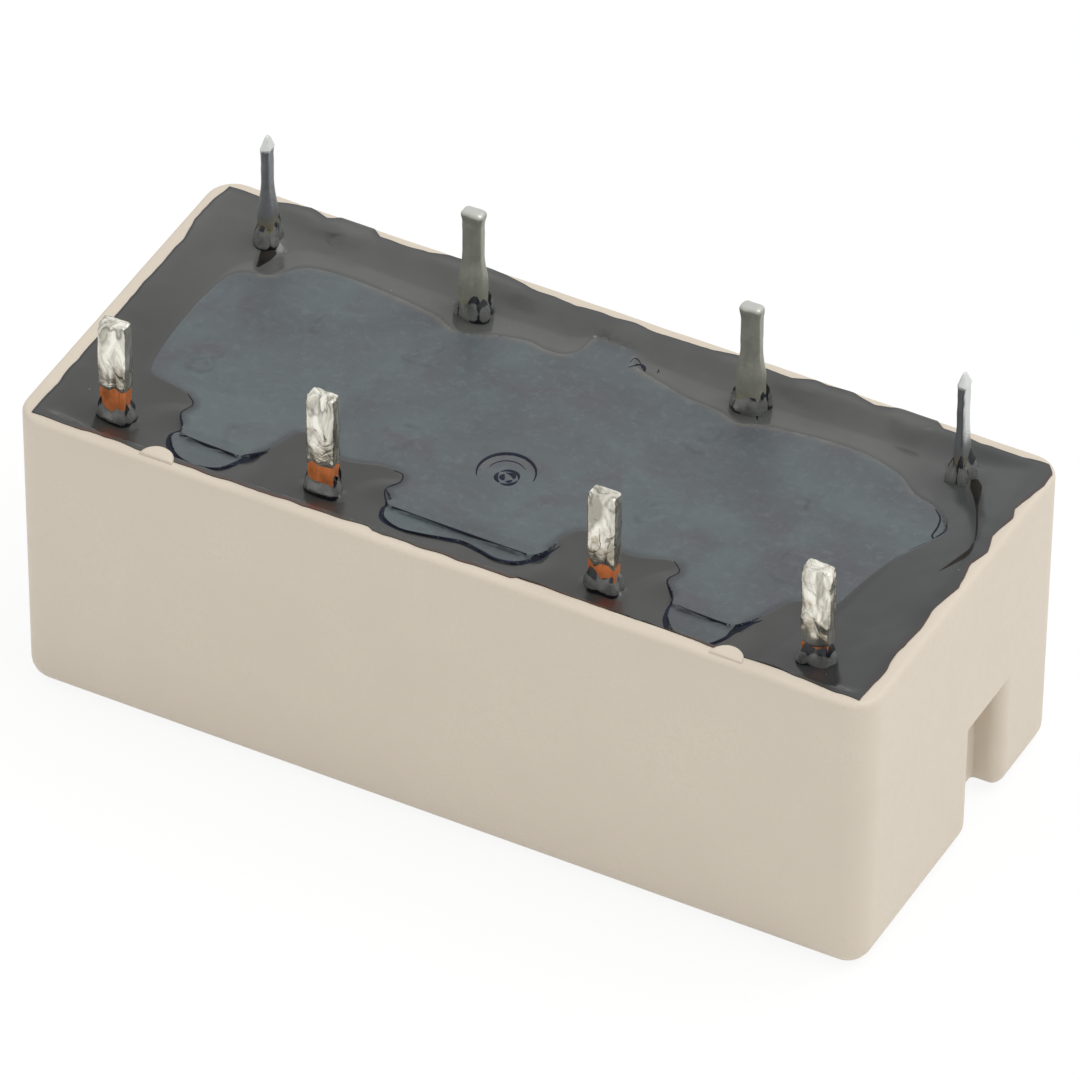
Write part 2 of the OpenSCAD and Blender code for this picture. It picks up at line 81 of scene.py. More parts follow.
OUTER_X, ROW_Y = column_of("outer_right_coil_terminal")[:2]
INNER_X = column_of("inner_right_coil_terminal")[0]
CONTACT_TIP_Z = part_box("left_fixed_terminal")[1].z
COLUMNS = (-OUTER_X, -INNER_X, INNER_X, OUTER_X)
CONTACT_NAMES = ("left_fixed", "left_common", "right_common", "right_fixed")
COIL_NAMES = ("outer_left", "inner_left", "inner_right", "outer_right")


def srgb(red, green, blue):
    """Linear colour of a tone given as 8-bit display values."""
    display = np.array([red, green, blue]) / 255
    linear = np.where(display <= 0.04045, display / 12.92, ((display + 0.055) / 1.055) ** 2.4)
    return tuple(float(v) for v in linear)


def length(name, description, millimetres):
    """Setting for a length, given in millimetres and kept in metres."""
    return FloatProperty(name=name, description=description, default=millimetres * MM, unit="LENGTH",
                         precision=5)


def tone(name, description, *display):
    """Setting for a colour, given as 8-bit display values."""
    return FloatVectorProperty(name=name, description=description, default=srgb(*display), subtype="COLOR")


def angle(name, description, degrees):
    """Setting for an angle, given in degrees."""
    return FloatProperty(name=name, description=description, default=math.radians(degrees), subtype="ANGLE")


# Settings that a user would change

class CoverSettings(bpy.types.PropertyGroup):
    """Sizes and colour of the moulded cover."""
    rim_z: length("Rim height", "Height of the rim above the closed face", 11.3)
    wall: length("Wall", "Wall thickness at the rim", 0.6)
    floor: length("Floor", "Thickness of the closed face", 0.8)
    corner_r: length("Corner radius", "Radius of the upright corners", 1.0)
    floor_edge_r: length("Floor edge radius", "Radius of the edge around the closed face", 0.8)
    rim_r: length("Rim radius", "Radius of the rim's outer shoulder", 0.2)
    draft: length("Draft", "How far each side draws in towards the closed face", 0.13)
    groove_y: length("Groove place", "Y of the groove's near wall in the right end", 0.9)
    groove_w: length("Groove width", "Width of the groove", 2.2)
    groove_h: length("Groove height", "Height of the groove", 4.85)
    groove_depth: length("Groove depth", "Depth of the groove", 0.95)
    groove_edge_r: length("Groove edge radius", "Radius of the groove's upright edges", 0.5)
    standoff_x: length("Standoff place", "Distance of the standoffs from the middle", 10.3)
    standoff_r: length("Standoff radius", "Radius of a half-round standoff", 0.6)
    standoff_back: length("Standoff back", "Distance of a standoff's flat side from the rim's outside", 0.22)
    plastic: tone("Plastic", "Colour of the moulded plastic", 203, 192, 176)


class PourSettings(bpy.types.PropertyGroup):
    """Sizes and colours of the base's land and of the cast resin around it."""
    lip_drop: length("Lip drop", "Depth of the lips below the land", 0.11)
    gate_r: length("Gate mark radius", "Radius of the moulding mark in the land", 0.97)
    number_h: length("Number height", "Height of the moulded terminal numbers", 1.3)
    film: length("Film", "Thickness of the resin that lies over the rim", 0.035)
    land: tone("Land", "Colour of the base plastic", 70, 75, 79)
    land_teal: tone("Land film", "Colour of the cloudy film on the land", 80, 89, 91)
    land_grey: tone("Land stains", "Colour of the dull stains on the land", 71, 70, 77)
    resin: tone("Resin", "Colour of the cast resin", 58, 59, 57)
    # Painted shade: this navy black stands for shade along the resin's borders, in the beads' clefts and in
    # the crevice strips
    resin_dark: tone("Resin in crevices", "Colour of the resin in creases", 12, 15, 28)
    # Also the colour of the painted reflections of the copper terminals in the resin
    thin_resin_and_reflection: tone("Thin resin", "Colour where the resin thins out over the rim", 88, 46, 32)


class TerminalSettings(bpy.types.PropertyGroup):
    """Sizes and colours of the terminals' coats."""
    blade_w: length("Contact blade width", "Width of a contact terminal", 0.93)
    blade_t: length("Contact blade thickness", "Thickness of a contact terminal", 0.42)
    coil_blade_w: length("Coil blade width", "Width of an inner coil terminal", 0.7)
    coil_blade_t: length("Coil blade thickness", "Thickness of an inner coil terminal", 0.4)
    coil_post_w: length("Coil post width", "Width of an outer coil terminal", 0.3)
    coil_post_t: length("Coil post thickness", "Thickness of an outer coil terminal", 0.5)
    skin: length("Tin coat", "Thickness of the dipped tin", 0.04)
    bare_top: length("Bare copper top", "Height at which the tin of a contact terminal begins", 12.0)
    flare: length("Foot flare", "How far a coil terminal's coat widens at its foot", 0.13)
    tin: tone("Bright tin", "Colour of the dipped tin", 240, 237, 226)
    dull_tin: tone("Dull tin", "Colour of the weathered tin on the coil terminals", 152, 152, 140)
    copper: tone("Copper", "Colour of the bare copper", 228, 134, 78)
    brass: tone("Brass", "Colour of the bare metal at the foot of the thin coil terminals", 152, 139, 82)


class StageSettings(bpy.types.PropertyGroup):
    """Camera, light and floor."""
    azimuth: angle("Azimuth", "Turn of the camera about Z", 27.6185)
    elevation: angle("Elevation", "Height angle of the camera", 40.2116)
    roll: angle("Roll", "Turn of the camera about its own axis", 0.5391)
    distance: length("Distance", "Distance of the camera from its aim", 464.9461)
    lens: FloatProperty(name="Lens", description="Focal length in millimetres", default=478.353)
    aim_z: length("Aim height", "Height of the point that the camera turns about", 6.0)
    aim_right: length("Aim right", "Shift of the aim to the right in the picture", 0.109)
    aim_up: length("Aim up", "Shift of the aim upwards in the picture", 0.77)
    sky: FloatProperty(name="Sky", description="Strength of the even light from all around", default=0.86)
    key: FloatProperty(name="Key lamp", description="Power of the soft lamp at the upper right", default=1.04,
                       unit="POWER")
    floor: tone("Floor", "Colour of the floor", 248, 248, 247)


# Arrays

def smoothstep(low, high, value):
    """0 below low, 1 above high, and 3t^2 - 2t^3 between them."""
    t = np.clip((value - low) / (high - low), 0, 1)
    return t * t * (3 - 2 * t)


def hump(value, middle, width):
    """Bell curve of height 1: exp(-((value - middle) / width)^2)."""
    return np.exp(-((value - middle) / width) ** 2)


LATTICE = 64


def value_noise(u, v, cell, seed):
    """Smooth heights from -1 to 1: seeded numbers on a square lattice, eased between its corners."""
    lattice = np.random.default_rng(seed).uniform(-1, 1, (LATTICE, LATTICE))
    u, v = np.broadcast_arrays(u / cell, v / cell)
    i, j = np.floor(u).astype(int), np.floor(v).astype(int)
    s, t = smoothstep(0, 1, u - i), smoothstep(0, 1, v - j)
    i, j = i % LATTICE, j % LATTICE
    k, m = (i + 1) % LATTICE, (j + 1) % LATTICE
    low = lattice[i, j] * (1 - s) + lattice[k, j] * s
    high = lattice[i, m] * (1 - s) + lattice[k, m] * s
    return low * (1 - t) + high * t


def curve_through(points, steps, closed=False):
    """Curve through points: cubics whose slope at a point is half the chord between its neighbours."""
    points = np.asarray(points, float)
    if closed:
        p = np.concatenate([points[-1:], points, points[:2]])
    else:
        p = np.concatenate([2 * points[:1] - points[1:2], points, 2 * points[-1:] - points[-2:-1]])
    t = np.linspace(0, 1, steps, endpoint=False)[None, :, None]
    a, b, c, d = (p[k:len(p) - 3 + k, None] for k in range(4))
    square, cube = 2 * a - 5 * b + 4 * c - d, 3 * b - a - 3 * c + d
    spans = 0.5 * (2 * b + (c - a) * t + square * t ** 2 + cube * t ** 3)
    curve = spans.reshape(-1, points.shape[1])
    return curve if closed else np.concatenate([curve, points[-1:]])


def line_gap(x, y, line):
    """Distance from a line: the least of those to its spans, each found by clamped projection."""
    best = np.full(np.shape(x), np.inf)
    for (ax, ay), (bx, by) in zip(line[:-1], line[1:]):
        t = np.clip(((x - ax) * (bx - ax) + (y - ay) * (by - ay)) / ((bx - ax) ** 2 + (by - ay) ** 2), 0, 1)
        best = np.minimum(best, (x - ax - t * (bx - ax)) ** 2 + (y - ay - t * (by - ay)) ** 2)
    return np.sqrt(best)


def signed_depth(x, y, loop):
    """Distance from a closed loop, positive inside by the even-odd rule and negative outside."""
    loop = np.append(loop, loop[:1], 0)
    inside = np.zeros(np.shape(x), bool)
    for (ax, ay), (bx, by) in zip(loop[:-1], loop[1:]):
        if ay != by:
            inside ^= ((ay > y) != (by > y)) & (x < (bx - ax) * (y - ay) / (by - ay) + ax)
    return np.where(inside, 1, -1) * line_gap(x, y, loop)


def rounded_gap(x, y, half_x, half_y, radius):
    """Distance inwards from the outline of a rectangle with round corners, below 0 outside it."""
    across, along = np.abs(x) - half_x + radius, np.abs(y) - half_y + radius
    outside = np.hypot(np.maximum(across, 0), np.maximum(along, 0))
    return radius - outside - np.minimum(np.maximum(across, along), 0)


def grid_quads(rows, cols, around=False, flip=False):
    """Quads between the neighbours of a rows x cols grid of points, closed along the columns if around."""
    i = np.arange(rows - 1)[:, None]
    j = np.arange(cols if around else cols - 1)[None, :]
    after = (j + 1) % cols
    corners = [i * cols + j, i * cols + after, (i + 1) * cols + after, (i + 1) * cols + j]
    return np.stack(corners[::-1] if flip else corners, -1).reshape(-1, 4)


def loft(rings, flip=False):
    """Rings of points joined by quads, with one flat face across the first and one across the last ring.

    Rings that run counter-clockwise and upwards face outwards; flip is for rings that run downwards."""
    count, around = rings.shape[:2]
    first = np.arange(around)
    last = first + (count - 1) * around
    caps = [first, last[::-1]] if flip else [first[::-1], last]
    return rings.reshape(-1, 3), grid_quads(count, around, True, flip).tolist() + [c.tolist() for c in caps]


def rounded_loop(half_x, half_y, xs, ys, corner_steps):
    """Path around a rectangle: anchors on its sides and corners, and the outward direction at each.

    A ring at distance e from the rectangle, with corners of radius e, is anchor + e * direction."""
    turn = np.linspace(0, math.pi / 2, corner_steps + 1)[1:-1]
    end_x, side_y = np.full(len(ys), half_x), np.full(len(xs), half_y)
    sides = [np.stack([end_x, ys], -1), np.stack([xs[::-1], side_y], -1),
             np.stack([-end_x, ys[::-1]], -1), np.stack([xs, -side_y], -1)]
    anchors, angles = [], []
    for quarter, side in enumerate(sides):
        anchors += [side, np.repeat(side[-1:], len(turn), 0)]
        angles += [np.full(len(side), quarter * math.pi / 2), quarter * math.pi / 2 + turn]
    angles = np.concatenate(angles)
    return np.concatenate(anchors), np.stack([np.cos(angles), np.sin(angles)], -1)


def even_places(low, high, step):
    """Places from low to high, evenly spaced at about a step."""
    return np.linspace(low, high, math.ceil((high - low) / step) + 1)


def add_piece(name, points, faces, material, slot, marks=None, sharp=math.radians(40)):
    """Puts points and faces into a mesh that rides on the housing. Marks are named values at the points."""
    mesh = bpy.data.meshes.new(name)
    mesh.from_pydata(np.asarray(points).tolist(), [], faces if isinstance(faces, list) else faces.tolist())
    for mark, values in (marks or {}).items():
        layer = mesh.attributes.new(mark, "FLOAT", "POINT")
        layer.data.foreach_set("value", np.ravel(values).astype(np.float32))
    mesh.shade_smooth()
    mesh.set_sharp_from_angle(angle=sharp)
    if mesh.validate():
        raise RuntimeError(f"{name} has faces that don't hold together")
    mesh.materials.append(material)
    piece = bpy.data.objects.new(name, mesh)
    bpy.context.scene.collection.objects.link(piece)
    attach(piece, HOUSING)
    return piece


def joined(surfaces):
    """Several (points, faces) as one, the faces renumbered."""
    points, faces, start = [], [], 0
    for some, more in surfaces:
        points.append(some)
        faces += [[index + start for index in face] for face in more]
        start += len(some)
    return np.concatenate(points), faces


def dress(node, material):
    """Gives a solid of the frame its material."""
    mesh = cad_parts[node].data
    mesh.materials.clear()
    mesh.materials.append(material)


# Finishes

class Finish:
    """A material being made: each method adds one node and gives back its output."""

    def __init__(self, name):
        self.material = bpy.data.materials.new(name)
        self.material.use_nodes = True
        self.tree = self.material.node_tree
        self.shader = self.tree.nodes["Principled BSDF"]
        self.place = self.tree.nodes.new("ShaderNodeTexCoord").outputs["Object"]

    def feed(self, socket, value):
        """Links an output to a socket, or sets the socket's own value."""
        if isinstance(value, bpy.types.NodeSocket):
            self.tree.links.new(value, socket)
        elif socket.type == "RGBA":
            socket.default_value = (*value[:3], 1)
        else:
            socket.default_value = value

    def node(self, kind, inputs, **settings):
        """Adds a node with its settings and its inputs."""
        made = self.tree.nodes.new(kind)
        for name, value in settings.items():
            setattr(made, name, value)
        for key, value in inputs.items():
            self.feed(made.inputs[key], value)
        return made

    def set(self, **inputs):
        """Feeds the shader and gives back the finished material."""
        for key, value in inputs.items():
            self.feed(self.shader.inputs[key.replace("_", " ")], value)
        return self.material

    def stretched(self, turn, stretch):
        """Object coordinates turned about Z and stretched, for streaks."""
        return self.node("ShaderNodeMapping", {
            "Vector": self.place, "Rotation": (0, 0, turn), "Scale": stretch}).outputs["Vector"]

    def noise(self, per_mm, detail=3.0, rough=0.5, twist=0.0, place=None):
        """Cloudy noise with so many swings per millimetre."""
        return self.node("ShaderNodeTexNoise", {
            "Vector": place or self.place, "Scale": per_mm * PER_MM, "Detail": detail, "Roughness": rough,
            "Distortion": twist}).outputs["Fac"]

    def cells(self, per_mm, feature="F1", place=None):
        """Distance to the nearest of scattered points, so many per millimetre."""
        return self.node("ShaderNodeTexVoronoi", {"Vector": place or self.place, "Scale": per_mm * PER_MM},
                         feature=feature).outputs["Distance"]

    def mark(self, name):
        """Value that the piece's points carry under a name, or 0."""
        return self.node("ShaderNodeAttribute", {}, attribute_name=name).outputs["Fac"]

    def spread(self, value, low, high, to_low=0.0, to_high=1.0):
        """The value's stretch from low to high carried to another stretch, and held at its ends."""
        return self.node("ShaderNodeMapRange", {"Value": value, "From Min": low, "From Max": high,
                                                "To Min": to_low, "To Max": to_high}).outputs["Result"]

    def ridge(self, value, middle, width):
        """1 where the value is at the middle, falling to 0 a width away: thin lines along a contour."""
        away = self.node("ShaderNodeMath", {0: value, 1: middle}, operation="SUBTRACT").outputs[0]
        gap = self.node("ShaderNodeMath", {0: away}, operation="ABSOLUTE").outputs[0]
        return self.spread(gap, 0, width, 1, 0)

    def times(self, one, other):
        return self.node("ShaderNodeMath", {0: one, 1: other}, operation="MULTIPLY").outputs[0]

    def plus(self, one, other):
        return self.node("ShaderNodeMath", {0: one, 1: other}, operation="ADD").outputs[0]

    def mix(self, share, one, other):
        """First colour where the share is 0, second where it is 1."""
        return self.node("ShaderNodeMix", {0: share, 6: one, 7: other}, data_type="RGBA").outputs[2]

    def bump(self, height, strength, depth_mm):
        """Normal of a small relief of the given depth."""
        return self.node("ShaderNodeBump", {"Height": height, "Strength": strength, "Distance": depth_mm * MM}
                         ).outputs["Normal"]


def shade(colour, factor):
    """A colour made darker or lighter by a factor."""
    return tuple(min(1.0, c * factor) for c in colour)


def cover_plastic(looks):
    """Satin beige plastic: faint mottling, fine moulded grain and a few dark specks."""
    f = Finish("cover_plastic")
    mottled = f.mix(f.spread(f.noise(0.35, 4), 0.3, 0.7),
                    shade(looks.plastic, 0.975), shade(looks.plastic, 1.025))
    grainy = f.mix(f.spread(f.noise(9.0, 2), 0.35, 0.65), shade(looks.plastic, 0.98), mottled)
    specks = f.spread(f.cells(0.23), 0.012, 0.02, 0.55, 0.0)
    colour = f.mix(specks, grainy, srgb(110, 78, 60))
    fine = f.plus(f.times(f.noise(14.0, 2), 0.6), f.noise(2.2, 3))
    return f.set(Base_Color=colour, Roughness=f.spread(f.noise(3.0), 0.3, 0.7, 0.44, 0.56),
                 Normal=f.bump(fine, 0.2, 0.01))


def land_plastic(looks):
    """Blue-grey plastic under a cloudy, wiped film: broad clouds, dull stains, a few pale scuffs, a tan
    painted highlight on the far edges and in the gate's dish, and painted shade by the resin, on the lips and
    round the numbers.
    """
    f = Finish("land_plastic")
    clouds = f.noise(0.22, 5, 0.6, 0.9)
    stains = f.noise(0.5, 4, 0.55, 0.6)
    wiped = f.noise(0.75, 5, 0.68, 2.4, f.stretched(math.radians(-32), (0.55, 1.6, 1.0)))
    cloudy = f.mix(f.spread(clouds, 0.36, 0.62), looks.land, looks.land_teal)
    stained = f.mix(f.spread(stains, 0.5, 0.68, 0.0, 0.7), cloudy, looks.land_grey)
    scuffed = f.mix(f.times(f.spread(wiped, 0.55, 0.75), f.spread(clouds, 0.42, 0.62)), stained,
                    shade(looks.land_teal, 1.22))
    grimy = f.mix(f.spread(f.noise(2.4, 4, 0.6), 0.58, 0.76, 0.0, 0.35), scuffed, shade(looks.land, 0.66))
    flecks = f.spread(f.noise(3.4, 4, 0.65, 0.6), 0.52, 0.74, 0.0, 0.45)
    flecked = f.mix(flecks, grimy, shade(looks.land_teal, 1.4))
    # Painted shade: the land darkened where it meets the resin by the pools, on the lips and round the raised
    # numbers
    painted_shade = f.mix(f.times(f.mark("painted_shade"), 0.75), flecked, shade(looks.land, 0.45))
    # Painted highlight: tan light along the land's far edges and on the gate's dish, from the edge mark
    lit_edge_share = f.times(f.mark("edge"), f.spread(f.noise(0.8, 4, 0.6), 0.4, 0.62, 0.08, 0.42))
    colour = f.mix(lit_edge_share, painted_shade, srgb(122, 112, 98))
    height = f.plus(f.times(f.noise(6.0, 3), 0.3), f.times(wiped, 0.7))
    return f.set(Base_Color=colour, Roughness=f.spread(wiped, 0.3, 0.75, 0.36, 0.58),
                 Normal=f.bump(height, 0.3, 0.03))


def cast_resin(looks):
    """Dark glossy epoxy: faint clouds, a painted sheen that lightens the far side, navy painted shade along
    its shaded borders and towards its right end, and brown where thin and in painted reflections of the
    copper.
    """
    f = Finish("cast_resin")
    clouds = f.mix(f.spread(f.noise(0.3, 4, 0.55, 0.6), 0.3, 0.7),
                   shade(looks.resin, 0.9), shade(looks.resin, 1.12))
    # Painted sheen: the resin made lighter towards the far side
    far_sheened = f.mix(f.times(f.mark("painted_far_sheen"), f.spread(f.noise(0.45, 4, 0.6), 0.3, 0.7, 0.6, 1.0)), clouds,
                 shade(looks.resin, 2.0))
    # Brown where the resin is thin, and painted reflections of the copper in front of the contact terminals
    thin = f.times(f.mark("thin"), f.spread(f.noise(1.1, 3), 0.35, 0.6, 0.35, 1.0))
    # Painted shade: navy along the resin's shaded borders and towards its right end
    edged = f.mix(f.mark("crease"), f.mix(thin, far_sheened, looks.thin_resin_and_reflection), looks.resin_dark)
    dust = f.spread(f.cells(1.1), 0.018, 0.03, 0.6, 0.0)
    height = f.plus(f.noise(0.7, 2), f.times(f.noise(5.0, 3), 0.05))
    return f.set(Base_Color=f.mix(dust, edged, srgb(150, 152, 150)),
                 Roughness=f.spread(f.noise(0.8, 3), 0.3, 0.75, 0.13, 0.24), Normal=f.bump(height, 0.3, 0.03))


def bead_resin(looks):
    """Resin that crept up a pin: paler and lumpy, with black painted shade at its foot, in its clefts and
    where it meets the metal.
    """
    f = Finish("bead_resin")
    lumps = f.mix(f.spread(f.noise(2.4, 4, 0.6), 0.35, 0.65),
                  shade(looks.resin, 1.9), shade(looks.resin, 3.8))
    # Painted shade: black at the bead's foot, in its clefts and where it meets the metal
    shade_share = f.spread(f.plus(f.mark("crease"), f.times(f.noise(3.2, 3), 0.5)), 0.5, 0.68)
    return f.set(Base_Color=f.mix(shade_share, lumps, shade(looks.resin_dark, 0.6)),
                 Roughness=f.spread(f.noise(4.0), 0.35, 0.7, 0.2, 0.4),
                 Normal=f.bump(f.noise(3.5, 4), 0.5, 0.05))


def crevice_dark(looks):
    """Painted shade for crevices, the lips' steps and the gate's grooves, and the dark of the flaws: navy
    black, or purple grey where the tone mark rises, with a damp sheen.
    """
    f = Finish("crevice_dark")
    deep = f.mix(f.spread(f.noise(1.6, 3), 0.35, 0.65), looks.resin_dark, shade(looks.resin_dark, 2.2))
    return f.set(Base_Color=f.mix(f.mark("tone"), deep, srgb(76, 74, 82)),
                 Roughness=f.spread(f.noise(3.0), 0.3, 0.7, 0.5, 0.7), Specular_IOR_Level=0.2,
                 Normal=f.bump(f.noise(6.0, 3), 0.3, 0.01))


def painted_post_reflection():
    """Painted reflection of a thin coil terminal in the resin: a brown-black line."""
    f = Finish("painted_post_reflection")
    # Painted reflection: brown-black tones of a post mirrored in the resin
    stain = f.mix(f.spread(f.noise(1.4, 3), 0.35, 0.65), srgb(15, 13, 11), srgb(32, 27, 21))
    return f.set(Base_Color=f.mix(f.mark("tone"), stain, srgb(66, 65, 62)),
                 Roughness=f.spread(f.noise(3.0), 0.3, 0.7, 0.4, 0.55), Specular_IOR_Level=0.15,
                 Normal=f.bump(f.noise(5.0, 3), 0.3, 0.01))


def dipped_tin(looks):
    """Bright dipped tin, smooth like foil, with painted reflections of dark surroundings: thin dark lines
    along its wrinkles and brownish streaks down the face.
    """
    f = Finish("dipped_tin")
    down = f.stretched(0.0, (1.0, 1.0, 0.35))
    wrinkles = f.noise(1.5, 2, 0.5, 0.7, f.stretched(0.0, (1.0, 1.0, 0.5)))
    # Painted reflections of dark surroundings: dark lines along the wrinkles and brownish streaks down the
    # face
    lines = f.times(f.ridge(wrinkles, 0.5, 0.035), f.spread(f.noise(1.2, 2), 0.42, 0.56))
    streaks = f.spread(f.noise(1.7, 4, 0.6, 0.9, down), 0.4, 0.62)
    reflection_streaked = f.mix(f.times(streaks, 0.8), looks.tin, srgb(138, 133, 119))
    folds = f.plus(f.noise(1.3, 2, 0.5, 1.0), f.times(f.noise(3.0, 2, 0.5, 0.8), 0.35))
    height = f.plus(folds, f.times(lines, -0.3))
    return f.set(Base_Color=f.mix(f.times(lines, 0.7), reflection_streaked, srgb(92, 88, 79)), Metallic=0.92,
                 Roughness=f.spread(wrinkles, 0.35, 0.7, 0.14, 0.28), Normal=f.bump(height, 0.42, 0.07))


def coil_pin_tin(looks):
    """Weathered tin of the coil terminals: dull olive grey, bright at the tip, with a painted highlight and
    painted edge shade on the right post, brassy and sooty below.
    """
    f = Finish("coil_pin_tin")
    down = f.stretched(0.0, (1.6, 1.6, 0.5))
    mottled = f.mix(f.spread(f.noise(2.2, 4, 0.6, 0.0, down), 0.3, 0.7),
                    shade(looks.dull_tin, 0.86), shade(looks.dull_tin, 1.1))
    greyed = f.mix(f.mark("post"), mottled, srgb(104, 107, 112))
    # Painted shade on the right post's edge; the tip mark below also carries the painted highlight of its
    # right face
    edge_shaded = f.mix(f.mark("seam"), greyed, srgb(56, 58, 60))
    tipped = f.mix(f.mark("tip"), edge_shaded, srgb(206, 208, 206))
    footed = f.mix(f.mark("foot"), tipped, looks.brass)
    sooty = f.times(f.mark("foot"), f.spread(f.noise(4.5, 3, 0.6), 0.54, 0.62))
    return f.set(Base_Color=f.mix(sooty, footed, srgb(24, 24, 26)), Metallic=0.45,
                 Roughness=f.spread(f.mark("tip"), 0.0, 1.0, 0.44, 0.2),
                 Normal=f.bump(f.noise(5.0, 4, 0.6), 0.5, 0.03))


def bare_copper(looks):
    """Copper left bare below the tin: orange, darker where it tarnished, with drawn lines up the blade."""
    f = Finish("bare_copper")
    grain = f.noise(5.0, 3, 0.6, 0.0, f.stretched(0.0, (1.0, 1.0, 0.25)))
    tarnish = f.spread(f.noise(1.3, 4, 0.6), 0.42, 0.68)
    colour = f.mix(tarnish, looks.copper, shade(looks.copper, 0.5))
    return f.set(Base_Color=f.mix(f.spread(grain, 0.4, 0.7, 0.0, 0.35), colour, shade(looks.copper, 1.3)),
                 Metallic=0.35, Roughness=f.spread(grain, 0.3, 0.7, 0.22, 0.4),
                 Normal=f.bump(grain, 0.4, 0.01))


def metal(name, colour, roughness, drawn, depth=0.01, stain=0.75):
    """Bare worked metal: drawn grain along one axis, faint stains and uneven gloss."""
    f = Finish(name)
    grain = f.noise(6.0, 3, 0.6, 0.0, f.stretched(0.0, drawn))
    stained = f.mix(f.spread(f.noise(0.9, 4, 0.6), 0.42, 0.72), colour, shade(colour, stain))
    return f.set(Base_Color=f.mix(f.spread(grain, 0.35, 0.65, 0.0, 0.35), stained, shade(colour, 1.15)),
                 Metallic=1.0, Roughness=f.spread(grain, 0.3, 0.7, roughness - 0.08, roughness + 0.08),
                 Normal=f.bump(grain, 0.4, depth))


def moulded(name, colour, roughness):
    """Moulded inner plastic: faint clouds and a fine grain."""
    f = Finish(name)
    clouds = f.mix(f.spread(f.noise(0.5, 4), 0.35, 0.65), shade(colour, 0.92), shade(colour, 1.08))
    return f.set(Base_Color=clouds,
                 Roughness=f.spread(f.noise(2.5), 0.3, 0.7, roughness - 0.06, roughness + 0.06),
                 Normal=f.bump(f.noise(9.0, 2), 0.3, 0.01))


def wound_wire(name, colour, wire_mm):
    """Enamelled wire laid side by side: round ridges a wire apart along X, with painted shade in the grooves
    between them and a varnish gloss.
    """
    f = Finish(name)
    turns = f.node("ShaderNodeTexWave", {"Vector": f.place, "Scale": PER_MM / wire_mm / 2, "Distortion": 0.0},
                   wave_type="BANDS", bands_direction="X").outputs["Fac"]
    varied = f.mix(f.spread(f.noise(0.8), 0.3, 0.7), colour, shade(colour, 1.2))
    # Painted shade: the wire darkened in the grooves between turns
    colours = f.mix(turns, shade(colour, 0.5), varied)
    return f.set(Base_Color=colours, Metallic=0.6, Roughness=0.32, Coat_Weight=0.5,
                 Normal=f.bump(turns, 0.9, wire_mm / 2))


# Cover

def rim_wave(x, y):
    """Unevenness of the rim's face: two layers of smooth noise, about 0.03 mm high."""
    return 0.022 * MM * value_noise(x, y, 1.3 * MM, 11) + 0.011 * MM * value_noise(x, y, 0.5 * MM, 12)


def rim_top(x, y, cover):
    """Height of the rim's face: level and uneven, with a quarter circle over its outer shoulder."""
    inset = np.clip(rounded_gap(x, y, HALF_L, HALF_W, cover.corner_r), 0, cover.rim_r)
    drop = cover.rim_r - np.sqrt(cover.rim_r ** 2 - (cover.rim_r - inset) ** 2)
    return cover.rim_z + rim_wave(x, y) - drop


def groove_plan(looks, inset, foot):
    """Plan of the groove in the right end at each height, from its near edge round its back to its far edge.

    The upright edges are arcs about a centre one radius inside the end and beside the groove. Where the
    foot is rounded, the walls step back by the foot's inset, and the inner corners turn on arcs of that
    radius."""
    r = looks.groove_edge_r
    near, far = looks.groove_y, looks.groove_y + looks.groove_w
    back = HALF_L - looks.draft - looks.groove_depth
    foot = np.maximum(foot, HAIR)[:, None]
    centre = HALF_L - inset[:, None] + foot - r
    arc, corner = np.maximum(r - foot, HAIR), np.minimum(r - foot, 0)
    turn = np.linspace(0, math.pi / 2, 7)
    bend = np.linspace(0, math.pi / 2, 4)
    along = np.linspace(0, 1, 5)[None, 1:-1]
    across = near + (far - near) * np.linspace(0, 1, 9)[None, 1:-1]
    x = np.concatenate([centre + corner + arc * np.cos(turn), (centre + corner) * (1 - along) + back * along,
                        back - foot * np.sin(bend)], 1)
    beside = np.concatenate([r - corner - arc * np.sin(turn), foot + 0 * along, foot * np.cos(bend)], 1)
    return (np.concatenate([x, back - foot + 0 * across, x[:, ::-1]], 1),
            np.concatenate([near - beside, across + 0 * foot, far + beside[:, ::-1]], 1))


